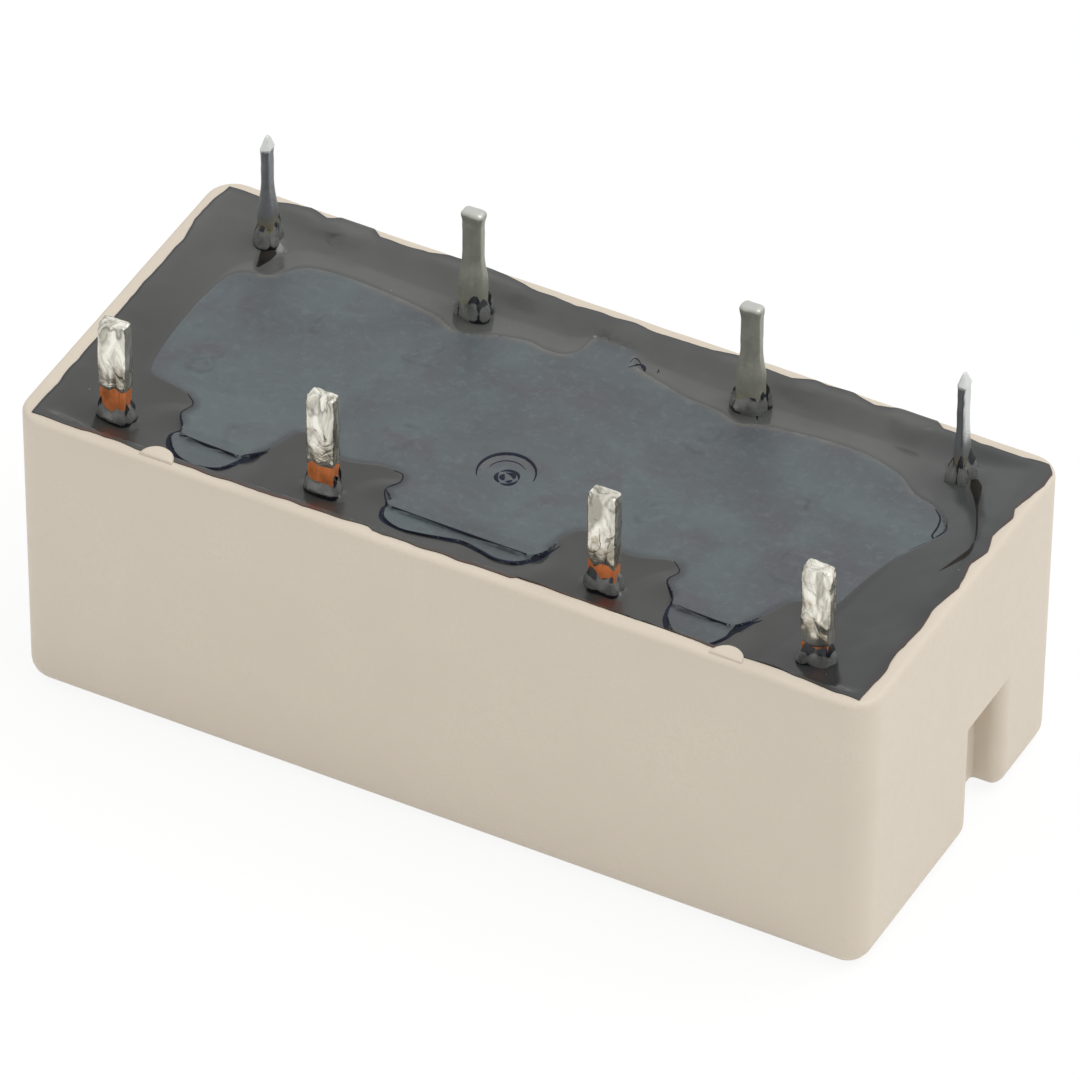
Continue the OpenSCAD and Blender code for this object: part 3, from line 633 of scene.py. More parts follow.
def cover_shell(looks):
    """Profile carried around a rectangle with round corners.

    It runs from the inner floor up the inside, over the rim, down the drafted outside and round the floor
    edge. In the right end the rings below the groove's top follow the groove's plan, and on the inside they
    step back around the wall behind it."""
    turn = np.linspace(0, math.pi / 2, 7)
    rim_z, wall, edge_r, rim_r = looks.rim_z, looks.wall, looks.floor_edge_r, looks.rim_r
    backing_z = looks.groove_h + wall
    inner_z = np.array([looks.floor, 2 * MM, backing_z - HAIR, backing_z + HAIR, 8 * MM, 10.2 * MM,
                        rim_z - 0.3 * MM, rim_z - 0.1 * MM])
    inner_d = wall + looks.draft * (1 - inner_z / rim_z)
    lip_d = np.append(wall - np.array([0.01, 0.04, 0.1]) * MM, (wall + rim_r) / 2)
    lip_z = rim_z - np.array([0.04, 0.01, 0.0, 0.0]) * MM
    outer_z = np.array([10.4 * MM, 9 * MM, 7.4 * MM, 6 * MM, looks.groove_h + HAIR, looks.groove_h - HAIR,
                        3.6 * MM, 2.2 * MM, 1.4 * MM])
    outer_d = looks.draft * (rim_z - rim_r - outer_z) / (rim_z - rim_r - edge_r)
    edge_foot = edge_r * (1 - np.cos(turn))
    d = np.concatenate([inner_d, lip_d, rim_r * (1 - np.sin(turn)), outer_d, looks.draft + edge_foot])
    z = np.concatenate([inner_z, lip_z, rim_z - rim_r * (1 - np.cos(turn)), outer_z,
                        edge_r * (1 - np.sin(turn))])
    foot = np.append(np.zeros(len(d) - len(turn)), edge_foot)
    inside = np.arange(len(d)) < len(inner_z)
    on_rim = np.zeros(len(d))
    on_rim[len(inner_z) - 1:len(inner_z) + 10] = (0.6, 1, 1, 1, 1, 1, 1, 0.9, 0.7, 0.4, 0.2)

    near, far = looks.groove_y - looks.groove_edge_r, looks.groove_y + looks.groove_w + looks.groove_edge_r
    high_y = HALF_W - looks.corner_r
    low_y = -high_y
    groove_x, groove_y = groove_plan(looks, d, foot)
    cut = ~inside & (z < looks.groove_h)
    groove_x = np.where(cut[:, None], groove_x, HALF_L - d[:, None])
    groove_y = np.where(cut[:, None], groove_y, np.linspace(near, far, groove_y.shape[1]))
    backing_low, backing_high = looks.groove_y - wall, looks.groove_y + looks.groove_w + wall
    before = np.append(even_places(low_y, backing_low - 0.1 * MM, 0.25 * MM),
                       [backing_low - HAIR, backing_low])
    after = np.append([backing_high, backing_high + HAIR],
                      even_places(backing_high + 0.1 * MM, high_y, 0.25 * MM))
    before = low_y + (before - low_y) * (groove_y[:, :1] - low_y) / (near - low_y)
    after = high_y - (high_y - after) * (high_y - groove_y[:, -1:]) / (high_y - far)
    end_x = np.concatenate([HALF_L - d[:, None] + 0 * before, groove_x, HALF_L - d[:, None] + 0 * after], 1)
    end_y = np.concatenate([before, groove_y, after], 1)
    beside = (end_y > backing_low - HAIR / 2) & (end_y < backing_high + HAIR / 2)
    behind = (inside & (z < backing_z))[:, None] & beside
    end_x = np.where(behind, HALF_L - looks.draft - looks.groove_depth - wall, end_x)

    xs = even_places(looks.corner_r - HALF_L, HALF_L - looks.corner_r, 0.25 * MM)
    ys = even_places(low_y, high_y, 0.25 * MM)
    anchors, outward = rounded_loop(HALF_L - looks.corner_r, high_y, xs, ys, 8)
    rest = anchors[None, len(ys):] + (looks.corner_r - d)[:, None, None] * outward[None, len(ys):]
    x, y = np.concatenate([end_x, rest[..., 0]], 1), np.concatenate([end_y, rest[..., 1]], 1)
    z = z[:, None] + on_rim[:, None] * rim_wave(x, y)
    return loft(np.stack([x, y, z], -1), flip=True)


# How much lower the far standoffs lie, under a film of resin
FAR_PAD_SINK = 0.06 * MM


def standoff(x, side, looks):
    """Half-round pad on the rim: rings of its D-shaped plan that draw in and round off to a low crown."""
    turn = np.linspace(0, math.pi, 25)
    plan = looks.standoff_r * np.stack([np.cos(turn), np.sin(turn)], -1)
    share = np.array([1.0, 1.0, 0.96, 0.87, 0.7, 0.38])
    top = COVER_HIGH.z - (FAR_PAD_SINK if side > 0 else 0.0)
    z = np.append(RESIN_Z, top - np.array([0.12, 0.07, 0.035, 0.012, 0.0]) * MM)
    middle = np.array([0, 0.4 * looks.standoff_r])
    flat = middle + share[:, None, None] * (plan - middle)
    px, py = x - side * flat[..., 0], side * (HALF_W - looks.standoff_back - flat[..., 1])
    z = z[:, None] + 0.012 * MM * value_noise(px, py, 0.3 * MM, 5)
    return loft(np.stack([px, py, np.minimum(z, top)], -1))


class RELAY_OT_cover(bpy.types.Operator):
    """Makes the moulded cover with its groove and standoffs"""
    bl_idname = "relay.cover"
    bl_label = "Cover"

    def execute(self, context):
        looks = context.scene.relay_cover
        plastic = cover_plastic(looks)
        shell = add_piece("cover_shell", *cover_shell(looks), plastic, "cover")
        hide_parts("cover")
        dress("cover", plastic)
        pads = [standoff(x, side, looks) for side in (-1, 1) for x in (-looks.standoff_x, looks.standoff_x)]
        add_piece("rim_standoffs", *joined(pads), plastic, "cover")
        return {"FINISHED"}


# Base and resin

# Edge of the dry land, where the resin stops: round the left end, along the far side with its tab, round the
# right end, and back along the near side with a pool at each contact terminal
LAND_EDGE = MM * np.array([
    (-13.0, -2.2), (-13.2, -0.4), (-13.2, 1.65), (-12.85, 3.15), (-11.75, 3.65), (-11.0, 4.5),
    (-9.6, 4.75), (-7.6, 4.6), (-6.0, 4.35), (-5.0, 3.95), (-4.0, 4.35), (-2.8, 4.64), (-2.1, 4.54),
    (-1.46, 4.62), (-1.14, 5.0), (-1.06, 5.6), (-0.9, 5.93), (-0.6, 5.94), (0.4, 5.85), (0.7, 5.75),
    (0.75, 5.4), (1.0, 5.12), (2.0, 4.83), (3.15, 4.53), (4.3, 4.45), (5.1, 4.2), (6.0, 4.5), (8.9, 4.8),
    (10.8, 4.4), (11.75, 3.75), (12.7, 3.4), (13.45, 2.35), (12.75, 0.75), (12.3, -1.0), (12.0, -2.5),
    (11.3, -2.8), (10.75, -2.95), (10.2, -4.1), (9.6, -4.85), (8.5, -4.88), (7.45, -4.85), (7.2, -4.45),
    (6.8, -3.95), (6.92, -3.4), (6.5, -3.0), (5.1, -3.4), (3.5, -3.0), (2.95, -3.35), (2.75, -4.2),
    (2.3, -4.88), (0, -4.9), (-2.7, -4.85), (-2.95, -4.5), (-3.3, -4.15), (-3.05, -3.7), (-3.15, -3.35),
    (-3.85, -3.25), (-5.3, -3.6), (-6.9, -2.95), (-7.35, -3.8), (-7.6, -4.4), (-8.2, -4.95),
    (-9.3, -4.95), (-10.3, -4.9), (-10.6, -4.5), (-10.9, -4.0), (-10.75, -3.45), (-11.2, -3.05),
    (-12.1, -2.85), (-12.7, -2.7)])
LAND_LOOP = curve_through(LAND_EDGE, 5, True)
# Lips below the near edge of the land: each a closed plan
LIPS = [curve_through(MM * np.array(plan), 6, True) for plan in (
    [(-10.6, -4.8), (-10.55, -5.25), (-10.0, -5.78), (-9.3, -5.9), (-8.55, -5.68), (-8.2, -5.1), (-8.3, -4.7),
     (-9.4, -4.6)],
    [(-2.8, -4.8), (-2.75, -5.3), (-2.1, -5.55), (-1.4, -5.5), (-0.6, -5.33), (0.1, -5.2), (0.75, -5.33),
     (1.45, -5.47), (2.05, -5.3), (2.35, -4.9), (2.2, -4.6), (0, -4.6)],
    [(7.4, -4.8), (7.45, -5.25), (8.1, -5.95), (8.65, -6.06), (9.2, -5.93), (9.6, -5.35), (9.5, -4.75),
     (8.5, -4.6)])]
# Painted shade: dark strips in the crevices around the lips and along their steps: x, y and half width along
# each
LIP_CREASES = [
    [(-11.18, -3.05, 0.012), (-10.78, -3.43, 0.018), (-10.91, -4.0, 0.018), (-10.57, -4.5, 0.02),
     (-10.68, -4.75, 0.03), (-10.75, -5.0, 0.05), (-10.55, -5.45, 0.07), (-10.0, -5.85, 0.05),
     (-9.3, -5.95, 0.028), (-8.6, -5.75, 0.03), (-8.2, -5.2, 0.05), (-8.05, -4.95, 0.08),
     (-7.75, -4.6, 0.05), (-7.5, -4.35, 0.01)],
    [(-3.5, -3.27, 0.01), (-3.15, -3.31, 0.018), (-3.04, -3.69, 0.018), (-3.3, -4.2, 0.02),
     (-3.0, -4.7, 0.024), (-2.95, -5.05, 0.06), (-2.75, -5.4, 0.07), (-2.1, -5.6, 0.03),
     (-1.3, -5.5, 0.025), (-0.6, -5.35, 0.04), (0.07, -5.25, 0.06), (0.75, -5.35, 0.05),
     (1.4, -5.45, 0.035), (2.05, -5.3, 0.05), (2.5, -4.85, 0.06), (2.8, -4.3, 0.03), (2.95, -4.0, 0.01)],
    [(6.51, -2.98, 0.01), (6.89, -3.36, 0.018), (6.75, -3.92, 0.025), (7.3, -4.6, 0.025), (7.35, -5.0, 0.04),
     (7.5, -5.5, 0.07), (7.9, -5.95, 0.06), (8.6, -6.1, 0.03), (9.2, -6.0, 0.03), (9.6, -5.4, 0.04),
     (9.7, -4.95, 0.08), (10.0, -4.5, 0.05), (10.3, -4.2, 0.01)]]
LIP_STEPS = [
    [(-10.45, -4.9, 0.012), (-9.4, -4.97, 0.028), (-8.25, -5.0, 0.034)],
    [(-2.7, -4.86, 0.02), (0, -4.9, 0.034), (2.2, -4.9, 0.028)],
    [(7.6, -4.84, 0.018), (8.5, -4.9, 0.03), (9.5, -4.9, 0.034)]]
# Small flaws: a hook by the right end of the land, daggers by the coil blades and a torn spot on the far tab
FLAWS = [
    [(12.67, 3.30, 0.012), (13.0, 2.97, 0.022), (13.13, 2.54, 0.026), (13.17, 2.06, 0.024),
     (13.38, 2.02, 0.026), (13.51, 2.34, 0.024), (13.39, 2.68, 0.01)],
    [(-4.8, 5.05, 0.05), (-4.62, 4.85, 0.035), (-4.45, 4.67, 0.008)],
    [(5.26, 5.11, 0.06), (5.42, 4.85, 0.045), (5.61, 4.56, 0.008)],
    [(0.64, 5.15, 0.006), (0.66, 5.42, 0.012), (0.8, 5.42, 0.02), (0.97, 5.3, 0.012)],
    [(0.7, 4.92, 0.008), (0.85, 5.12, 0.024), (1.0, 5.24, 0.045), (1.15, 5.16, 0.06), (1.27, 5.0, 0.02)],
    [(1.6, 5.36, 0.008), (1.64, 5.24, 0.02), (1.65, 5.14, 0.008)]]
# Painted reflections of the thin coil terminals: dark lines on the resin below them: x, y and half width
POST_REFLECTIONS = [
    [(13.2, 5.0, 0.07), (13.4, 4.72, 0.12), (13.62, 4.35, 0.08), (13.9, 3.79, 0.03), (14.25, 3.1, 0.022),
     (14.56, 2.42, 0.02), (14.66, 2.1, 0.01)],
    [(14.68, 2.0, 0.012), (14.74, 1.6, 0.045), (14.67, 1.19, 0.065), (14.5, 0.75, 0.04),
     (14.32, 0.31, 0.008)],
    [(-12.46, 4.85, 0.1), (-12.4, 4.6, 0.16), (-12.38, 4.25, 0.12), (-12.36, 3.75, 0.03)]]
GATE = MM * np.array([-0.27, -1.64])
GATE_DEEP_SIDE = math.radians(112)
GATE_DOT = MM * np.array([-0.14, -1.83])
# Arcs of painted shade in the gate mark's ring groove and in its dot: radius, start, end, half width at the
# middle; about the gate and about its dot
GATE_ARCS = [(0.96, 2, 216, 0.066), (0.64, 45, 175, 0.022)]
DOT_ARCS = [(0.38, 10, 150, 0.07), (0.36, 165, 255, 0.075), (0.37, 262, 360, 0.07), (0.22, 5, 125, 0.1),
            (0.16, 150, 265, 0.1), (0.22, 285, 345, 0.07)]
# Places of the terminal numbers, counted round the base from the far left terminal
NUMBER_PLACES = MM * np.array([(-9.2, 2.4), (-5.5, 2.6), (4.5, 2.9), (8.9, 2.1), (9.9, -1.5), (4.78, -1.08),
                               (-3.85, -1.6), (-11.6, -1.15)])
# Strokes of the numbers in a box one high and 0.6 wide
DIGITS = {
    1: [[(0.1, 0.78), (0.35, 1.0), (0.35, 0.5), (0.35, 0.0)]],
    2: [[(0.02, 0.74), (0.12, 0.94), (0.35, 1.0), (0.56, 0.86), (0.54, 0.62), (0.3, 0.32), (0.02, 0.0)],
        [(0.02, 0.0), (0.3, 0.0), (0.58, 0.0)]],
    3: [[(0.04, 0.86), (0.25, 1.0), (0.5, 0.9), (0.5, 0.64), (0.24, 0.53)],
        [(0.24, 0.53), (0.55, 0.42), (0.55, 0.13), (0.28, 0.0), (0.02, 0.14)]],
    4: [[(0.44, 0.0), (0.44, 0.5), (0.44, 1.0)], [(0.44, 1.0), (0.2, 0.6), (0.0, 0.3)],
        [(0.0, 0.3), (0.3, 0.3), (0.6, 0.3)]],
    5: [[(0.54, 1.0), (0.3, 1.0), (0.08, 1.0)], [(0.08, 1.0), (0.06, 0.8), (0.04, 0.56)],
        [(0.04, 0.56), (0.3, 0.66), (0.56, 0.5), (0.54, 0.14), (0.28, 0.0), (0.02, 0.12)]],
    6: [[(0.5, 0.95), (0.2, 0.86), (0.04, 0.5), (0.04, 0.2), (0.28, 0.0), (0.56, 0.16), (0.54, 0.46),
         (0.3, 0.58), (0.06, 0.42)]],
    7: [[(0.02, 1.0), (0.3, 1.0), (0.58, 1.0)], [(0.58, 1.0), (0.36, 0.5), (0.22, 0.0)]],
    8: [[(0.3, 0.54), (0.06, 0.72), (0.12, 0.94), (0.3, 1.0), (0.48, 0.94), (0.54, 0.72), (0.3, 0.54),
         (0.02, 0.3), (0.08, 0.06), (0.3, 0.0), (0.52, 0.06), (0.58, 0.3), (0.3, 0.54)]],
}
# Where the resin ends on the rim: the near and far lines by x, the left and right lines by y
RESIN_NEAR = MM * np.array([
    (-14.93, -6.63), (-12, -6.6), (-8, -6.64), (-4.5, -6.58), (-2.7, -6.5), (-2.5, -6.62), (0, -6.58),
    (2.5, -6.56), (2.7, -6.42), (5, -6.45), (8, -6.4), (9.5, -6.5), (12, -6.42), (15, -6.64)])
RESIN_FAR = MM * np.array([
    (-14.98, 6.58), (-13.2, 6.6), (-12.1, 6.86), (-11.4, 6.66), (-10.8, 6.9), (-9.8, 6.9), (-9.4, 6.62),
    (-7.6, 6.62), (-7, 6.82), (-5.9, 6.94), (-5, 6.86), (-3.8, 6.63), (-2.1, 6.51), (-0.5, 6.6),
    (2.8, 6.6), (3.8, 6.79), (4.7, 6.62), (5.75, 6.56), (6.5, 6.81), (7.8, 6.85), (8.7, 6.66), (9.6, 6.9),
    (10.8, 6.9), (11.2, 6.62), (12.5, 6.58), (13.7, 6.6), (15.04, 6.62)])
RESIN_LEFT = MM * np.array([
    (-6.63, -14.93), (-3, -14.97), (0.5, -15), (3.4, -14.98), (4.6, -15.15), (5.8, -15.1), (6.58, -14.98)])
RESIN_RIGHT = MM * np.array([
    (-6.64, 15.0), (-5.2, 15.05), (-3.9, 14.98), (-2.6, 15.1), (-1.7, 15.04), (-0.94, 15.12), (-0.21, 15.26),
    (0.52, 15.15), (1.04, 15.08), (1.79, 15.27), (2.59, 15.07), (3.68, 15.22), (4.1, 15.07), (4.8, 15.24),
    (5.6, 15.4), (6.27, 15.34), (6.62, 15.04)])


def lip_depth(x, y):
    """Distance inside the lips' plans, negative outside all of them."""
    return np.max([signed_depth(x, y, plan) for plan in LIPS], 0)


def number_gap(x, y, looks):
    """Distance from the strokes of the numbers 1 to 8, measured near each number only."""
    gap = np.full(np.shape(x), 1.0)
    for number, place in zip(DIGITS, NUMBER_PLACES):
        close = (np.abs(x - place[0]) < looks.number_h) & (np.abs(y - place[1]) < looks.number_h)
        for points in DIGITS[number]:
            path = place + looks.number_h * (curve_through(points, 4) - np.array([0.3, 0.5]))
            gap[close] = np.minimum(gap[close], line_gap(x[close], y[close], path))
    return gap


def land_height(x, y, looks):
    """Height of the base: the land inside its edge, the lower lips, and the plate under the resin.

    The land falls within a hair of its edge, dips where the gate mark is deep and rises in soft numbers."""
    depth = signed_depth(x, y, LAND_LOOP)
    uneven = 0.007 * MM * value_noise(x, y, 2.4 * MM, 21) + 0.002 * MM * value_noise(x, y, 0.6 * MM, 22)
    land = LAND_Z + uneven + 0.035 * MM * (1 - smoothstep(0.03 * MM, 0.17 * MM, number_gap(x, y, looks)))
    lip_z = LAND_Z - looks.lip_drop + 0.5 * uneven
    low = PLATE_Z + (lip_z - PLATE_Z) * smoothstep(-0.1 * MM, -0.03 * MM, lip_depth(x, y))
    z = low + (land - low) * smoothstep(-0.05 * MM, 0.0, depth)
    away, turn = np.hypot(x - GATE[0], y - GATE[1]), np.arctan2(y - GATE[1], x - GATE[0])
    deep = smoothstep(-0.35, 0.6, np.cos(turn - GATE_DEEP_SIDE))
    return z - 0.04 * MM * deep * (1 - smoothstep(looks.gate_r - 0.12 * MM, looks.gate_r, away))


# How far the resin's menisci reach from the end walls, and how it rises round the terminals' feet
LEFT_REACH, RIGHT_REACH = 1.5 * MM, 2.1 * MM
PIN_CREEP, PIN_CREEP_REACH = 0.2 * MM, 0.3 * MM
POST_MOUND, POST_MOUND_R = 0.2 * MM, 0.7 * MM


def resin_height(x, y, looks, cover):
    """Height of the resin: level, with bell-shaped menisci that climb the walls to a film over the rim.

    It domes over the far standoffs, creeps up the terminals, mounds round the thin posts, meets the land
    flush and dives under it and the lips."""
    film = rim_top(x, y, cover) + looks.film
    gap = rounded_gap(x, y, HALF_L - cover.wall, HALF_W - cover.wall, cover.corner_r - cover.wall)
    reach = MM * (0.14 + 0.5 * smoothstep(-1 * MM, 3 * MM, y - 0.45 * x))
    walls = np.exp(-(np.maximum(gap, 0) / reach) ** 1.5)
    left = np.exp(-(np.maximum(HALF_L - cover.wall + x, 0) / LEFT_REACH) ** 1.5)
    right = np.exp(-(np.maximum(HALF_L - cover.wall - x, 0) / RIGHT_REACH) ** 1.5)
    z = RESIN_Z + (film - RESIN_Z) * (1 - (1 - walls) * (1 - left) * (1 - right))
    for middle in (-cover.standoff_x, cover.standoff_x):
        away = np.hypot(x - middle, y - HALF_W + cover.standoff_back)
        top = COVER_HIGH.z - FAR_PAD_SINK + looks.film - RESIN_Z
        outside = smoothstep(0.0, 0.13 * MM, y - HALF_W + cover.standoff_back)
        dome = (1 - smoothstep(0.55 * MM, 1.05 * MM, away)) * (1 - outside)
        z = RESIN_Z + top * (1 - (1 - np.minimum((z - RESIN_Z) / top, 1)) * (1 - dome))
    for column in COLUMNS:
        for row, half in ((-ROW_Y, 0.5 * MM), (ROW_Y, 0.4 * MM)):
            away = np.hypot(np.maximum(np.abs(x - column) - half, 0), y - row)
            z = np.maximum(z, RESIN_Z + PIN_CREEP * np.exp(-away / PIN_CREEP_REACH))
    for column in (-OUTER_X, OUTER_X):
        z = z + POST_MOUND * hump(np.hypot(x - column, y - ROW_Y), 0, POST_MOUND_R)
    depth, lip = signed_depth(x, y, LAND_LOOP), lip_depth(x, y)
    climb = np.exp(-np.maximum(-depth, 0) / (1.2 * MM)) * smoothstep(0.05 * MM, 1.1 * MM, -lip)
    brim = LAND_Z + 0.014 * MM
    z = np.maximum(z, RESIN_Z + (brim - RESIN_Z) * climb) + 0.004 * MM * value_noise(x, y, 1.6 * MM, 46)
    z = np.where(depth > 0, np.minimum(z, brim) - 0.22 * np.clip(depth, 0, 1.0 * MM), z)
    under_lip = LAND_Z - looks.lip_drop - 0.02 * MM - 0.5 * np.clip(lip, 0, 0.4 * MM)
    return np.where(lip > 0, np.minimum(z, under_lip), z)


def dense_places(low, high, dense_low, dense_high, fine, coarse):
    """Places from low to high that lie closer together between dense_low and dense_high."""
    parts = [even_places(low, dense_low, coarse), even_places(dense_low, dense_high, fine),
             even_places(dense_high, high, coarse)]
    return np.unique(np.round(np.concatenate(parts), 9))


def slab(x, y, z, rims):
    """Height field made solid: a skirt follows its border down through the rims, and one flat face closes it.

    Each rim gives the x, y and z of the border's next ring as functions of the border points."""
    rows, cols = x.shape
    grid = np.arange(rows * cols).reshape(rows, cols)
    border = np.concatenate([grid[0, :-1], grid[:-1, -1], grid[-1, :0:-1], grid[:0:-1, 0]])
    points = np.stack([x, y, z], -1).reshape(-1, 3)
    skirt = np.concatenate([rim(points[border]) for rim in rims])
    numbers = np.concatenate([border[None], rows * cols + np.arange(len(skirt)).reshape(len(rims), -1)])
    after = np.roll(numbers, -1, 1)
    sides = np.stack([numbers[:-1], numbers[1:], after[1:], after[:-1]], -1).reshape(-1, 4)
    faces = grid_quads(rows, cols).tolist() + sides.tolist() + [numbers[-1, ::-1].tolist()]
    return np.concatenate([points, skirt]), faces, len(skirt)


def land_surface(looks):
    """Base plate as a height field, with marks for the painted tan highlight on the land's far edge and on
    the gate's band, and for painted shade at its edge by the resin, on the lips and round the numbers.
    """
    xs = even_places(BASE_LOW.x, BASE_HIGH.x, 0.065 * MM)
    ys = dense_places(BASE_LOW.y, BASE_HIGH.y, -6.2 * MM, -2.7 * MM, 0.045 * MM, 0.09 * MM)
    x, y = np.meshgrid(xs, ys)
    depth = signed_depth(x, y, LAND_LOOP)
    away, turn = np.hypot(x - GATE[0], y - GATE[1]), np.arctan2(y - GATE[1], x - GATE[0])
    # Painted highlight along the land's far edge, and a painted lit band in the gate's dish
    edge = hump(depth, 0.1 * MM, 0.13 * MM) * smoothstep(2.5 * MM, 3.5 * MM, y)
    edge += 0.8 * hump(away, 0.8 * MM, 0.13 * MM) * smoothstep(0.0, 0.6, np.cos(turn - GATE_DEEP_SIDE))
    # Painted shade: darker land by the resin's edge at the pools, on the lips and in a ragged halo round the
    # numbers
    painted_shade = (1 - smoothstep(0.05 * MM, 0.35 * MM, depth)) * (1 - smoothstep(-3.6 * MM, -2.0 * MM, y))
    lip = lip_depth(x, y)
    painted_shade = np.where(depth < 0, 0.0, painted_shade) * smoothstep(0.12 * MM, 0.5 * MM, -lip) + 0.2 * (lip > -0.1 * MM)
    outline = hump(number_gap(x, y, looks), 0.12 * MM, 0.06 * MM)
    painted_shade = np.maximum(painted_shade, 0.42 * outline * smoothstep(-0.2, 0.5, value_noise(x, y, 0.45 * MM, 23)))
    points, faces, extra = slab(x, y, land_height(x, y, looks), [
        lambda ring: np.column_stack([ring[:, :2], np.full(len(ring), PLATE_Z - 0.05 * MM)]),
        lambda ring: np.column_stack([ring[:, :2], np.full(len(ring), BASE_LOW.z)])])
    below = np.zeros(extra)
    return points, faces, {"edge": np.append(edge, below), "painted_shade": np.append(painted_shade, below)}


def ribbon(line, lift, height):
    """Low strip along a line of x, y and half width on a surface: an arch above and a flat foot below."""
    ahead = np.gradient(line[:, :2], axis=0)
    ahead /= np.linalg.norm(ahead, axis=1, keepdims=True)
    left = np.stack([-ahead[:, 1], ahead[:, 0]], -1)
    side = np.array([1, 0.6, 0, -0.6, -1, -1, 1])
    rise = lift * np.array([0, 0.64, 1, 0.64, 0, -2, -2])
    half = np.maximum(line[:, None, 2:], 0.004 * MM)
    flat = line[:, None, :2] + half * side[None, :, None] * left[:, None]
    z = height(flat[..., 0], flat[..., 1]) + rise
    return loft(np.concatenate([flat, z[..., None]], -1))


def arc_line(middle, radius, start, end, half):
    """Points of an arc with half widths that swell from its ends to its middle as a sine."""
    turn = np.radians(np.linspace(start, end, 4 + int(abs(end - start) / 6)))
    swell = 0.25 + 0.75 * np.sin(np.linspace(0, math.pi, len(turn)))
    return np.column_stack([middle[0] + MM * radius * np.cos(turn), middle[1] + MM * radius * np.sin(turn),
                            MM * half * swell])


def marked_ribbons(groups, height):
    """Ribbons of several groups as one surface, each group with its own lift and tone."""
    made, tones = [], []
    for lines, lift, tone_share in groups:
        for line in lines:
            made.append(ribbon(line, lift, height))
            tones.append(np.full(len(made[-1][0]), tone_share))
    return (*joined(made), {"tone": np.concatenate(tones)})


def hand_lines(lines, widen=1.0):
    """Smooth lines through points of x, y and half width in millimetres."""
    return [curve_through(MM * np.array(line) * (1, 1, widen), 6) for line in lines]


class RELAY_OT_base(bpy.types.Operator):
    """Makes the base with its land, lips, gate mark and terminal numbers"""
    bl_idname = "relay.base"
    bl_label = "Base"

    def execute(self, context):
        looks = context.scene.relay_pour
        plastic = land_plastic(looks)
        points, faces, marks = land_surface(looks)
        plate = add_piece("base_plate", points, faces, plastic, "base", marks)
        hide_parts("base")
        dress("base", plastic)

        def height(x, y):
            return land_height(x, y, looks)

        # Painted shade: dark arcs in the gate's ring groove and in its dot
        arcs = [arc_line(GATE, *arc) for arc in GATE_ARCS] + [arc_line(GATE_DOT, *arc) for arc in DOT_ARCS]
        points, faces, marks = marked_ribbons([(arcs, 0.018 * MM, 0.0)], height)
        add_piece("gate_rings", points, faces, crevice_dark(looks), "base", marks)
        return {"FINISHED"}


def ragged(place, seed):
    """Wander of a border along its length: coarse noise and half as much fine noise."""
    return (0.03 * MM * value_noise(place, 0 * place, 0.7 * MM, seed)
            + 0.015 * MM * value_noise(place, 0 * place, 0.3 * MM, seed + 1))


def resin_borders(x, y):
    """X of the resin's left and right border, Y of its near and far border: given lines, made ragged."""
    along, across = ragged(x, 41), ragged(y, 43)
    return (np.interp(y, *RESIN_LEFT.T) + across, np.interp(y, *RESIN_RIGHT.T) + across,
            np.interp(x, *RESIN_NEAR.T) + along, np.interp(x, *RESIN_FAR.T) + along)


# How brown the painted reflection of the copper makes the thin resin in front of each contact terminal, in
# the order of their columns
COPPER_REFLECTION_SHARES = (0.8, 0.9, 0.9, 0.3)


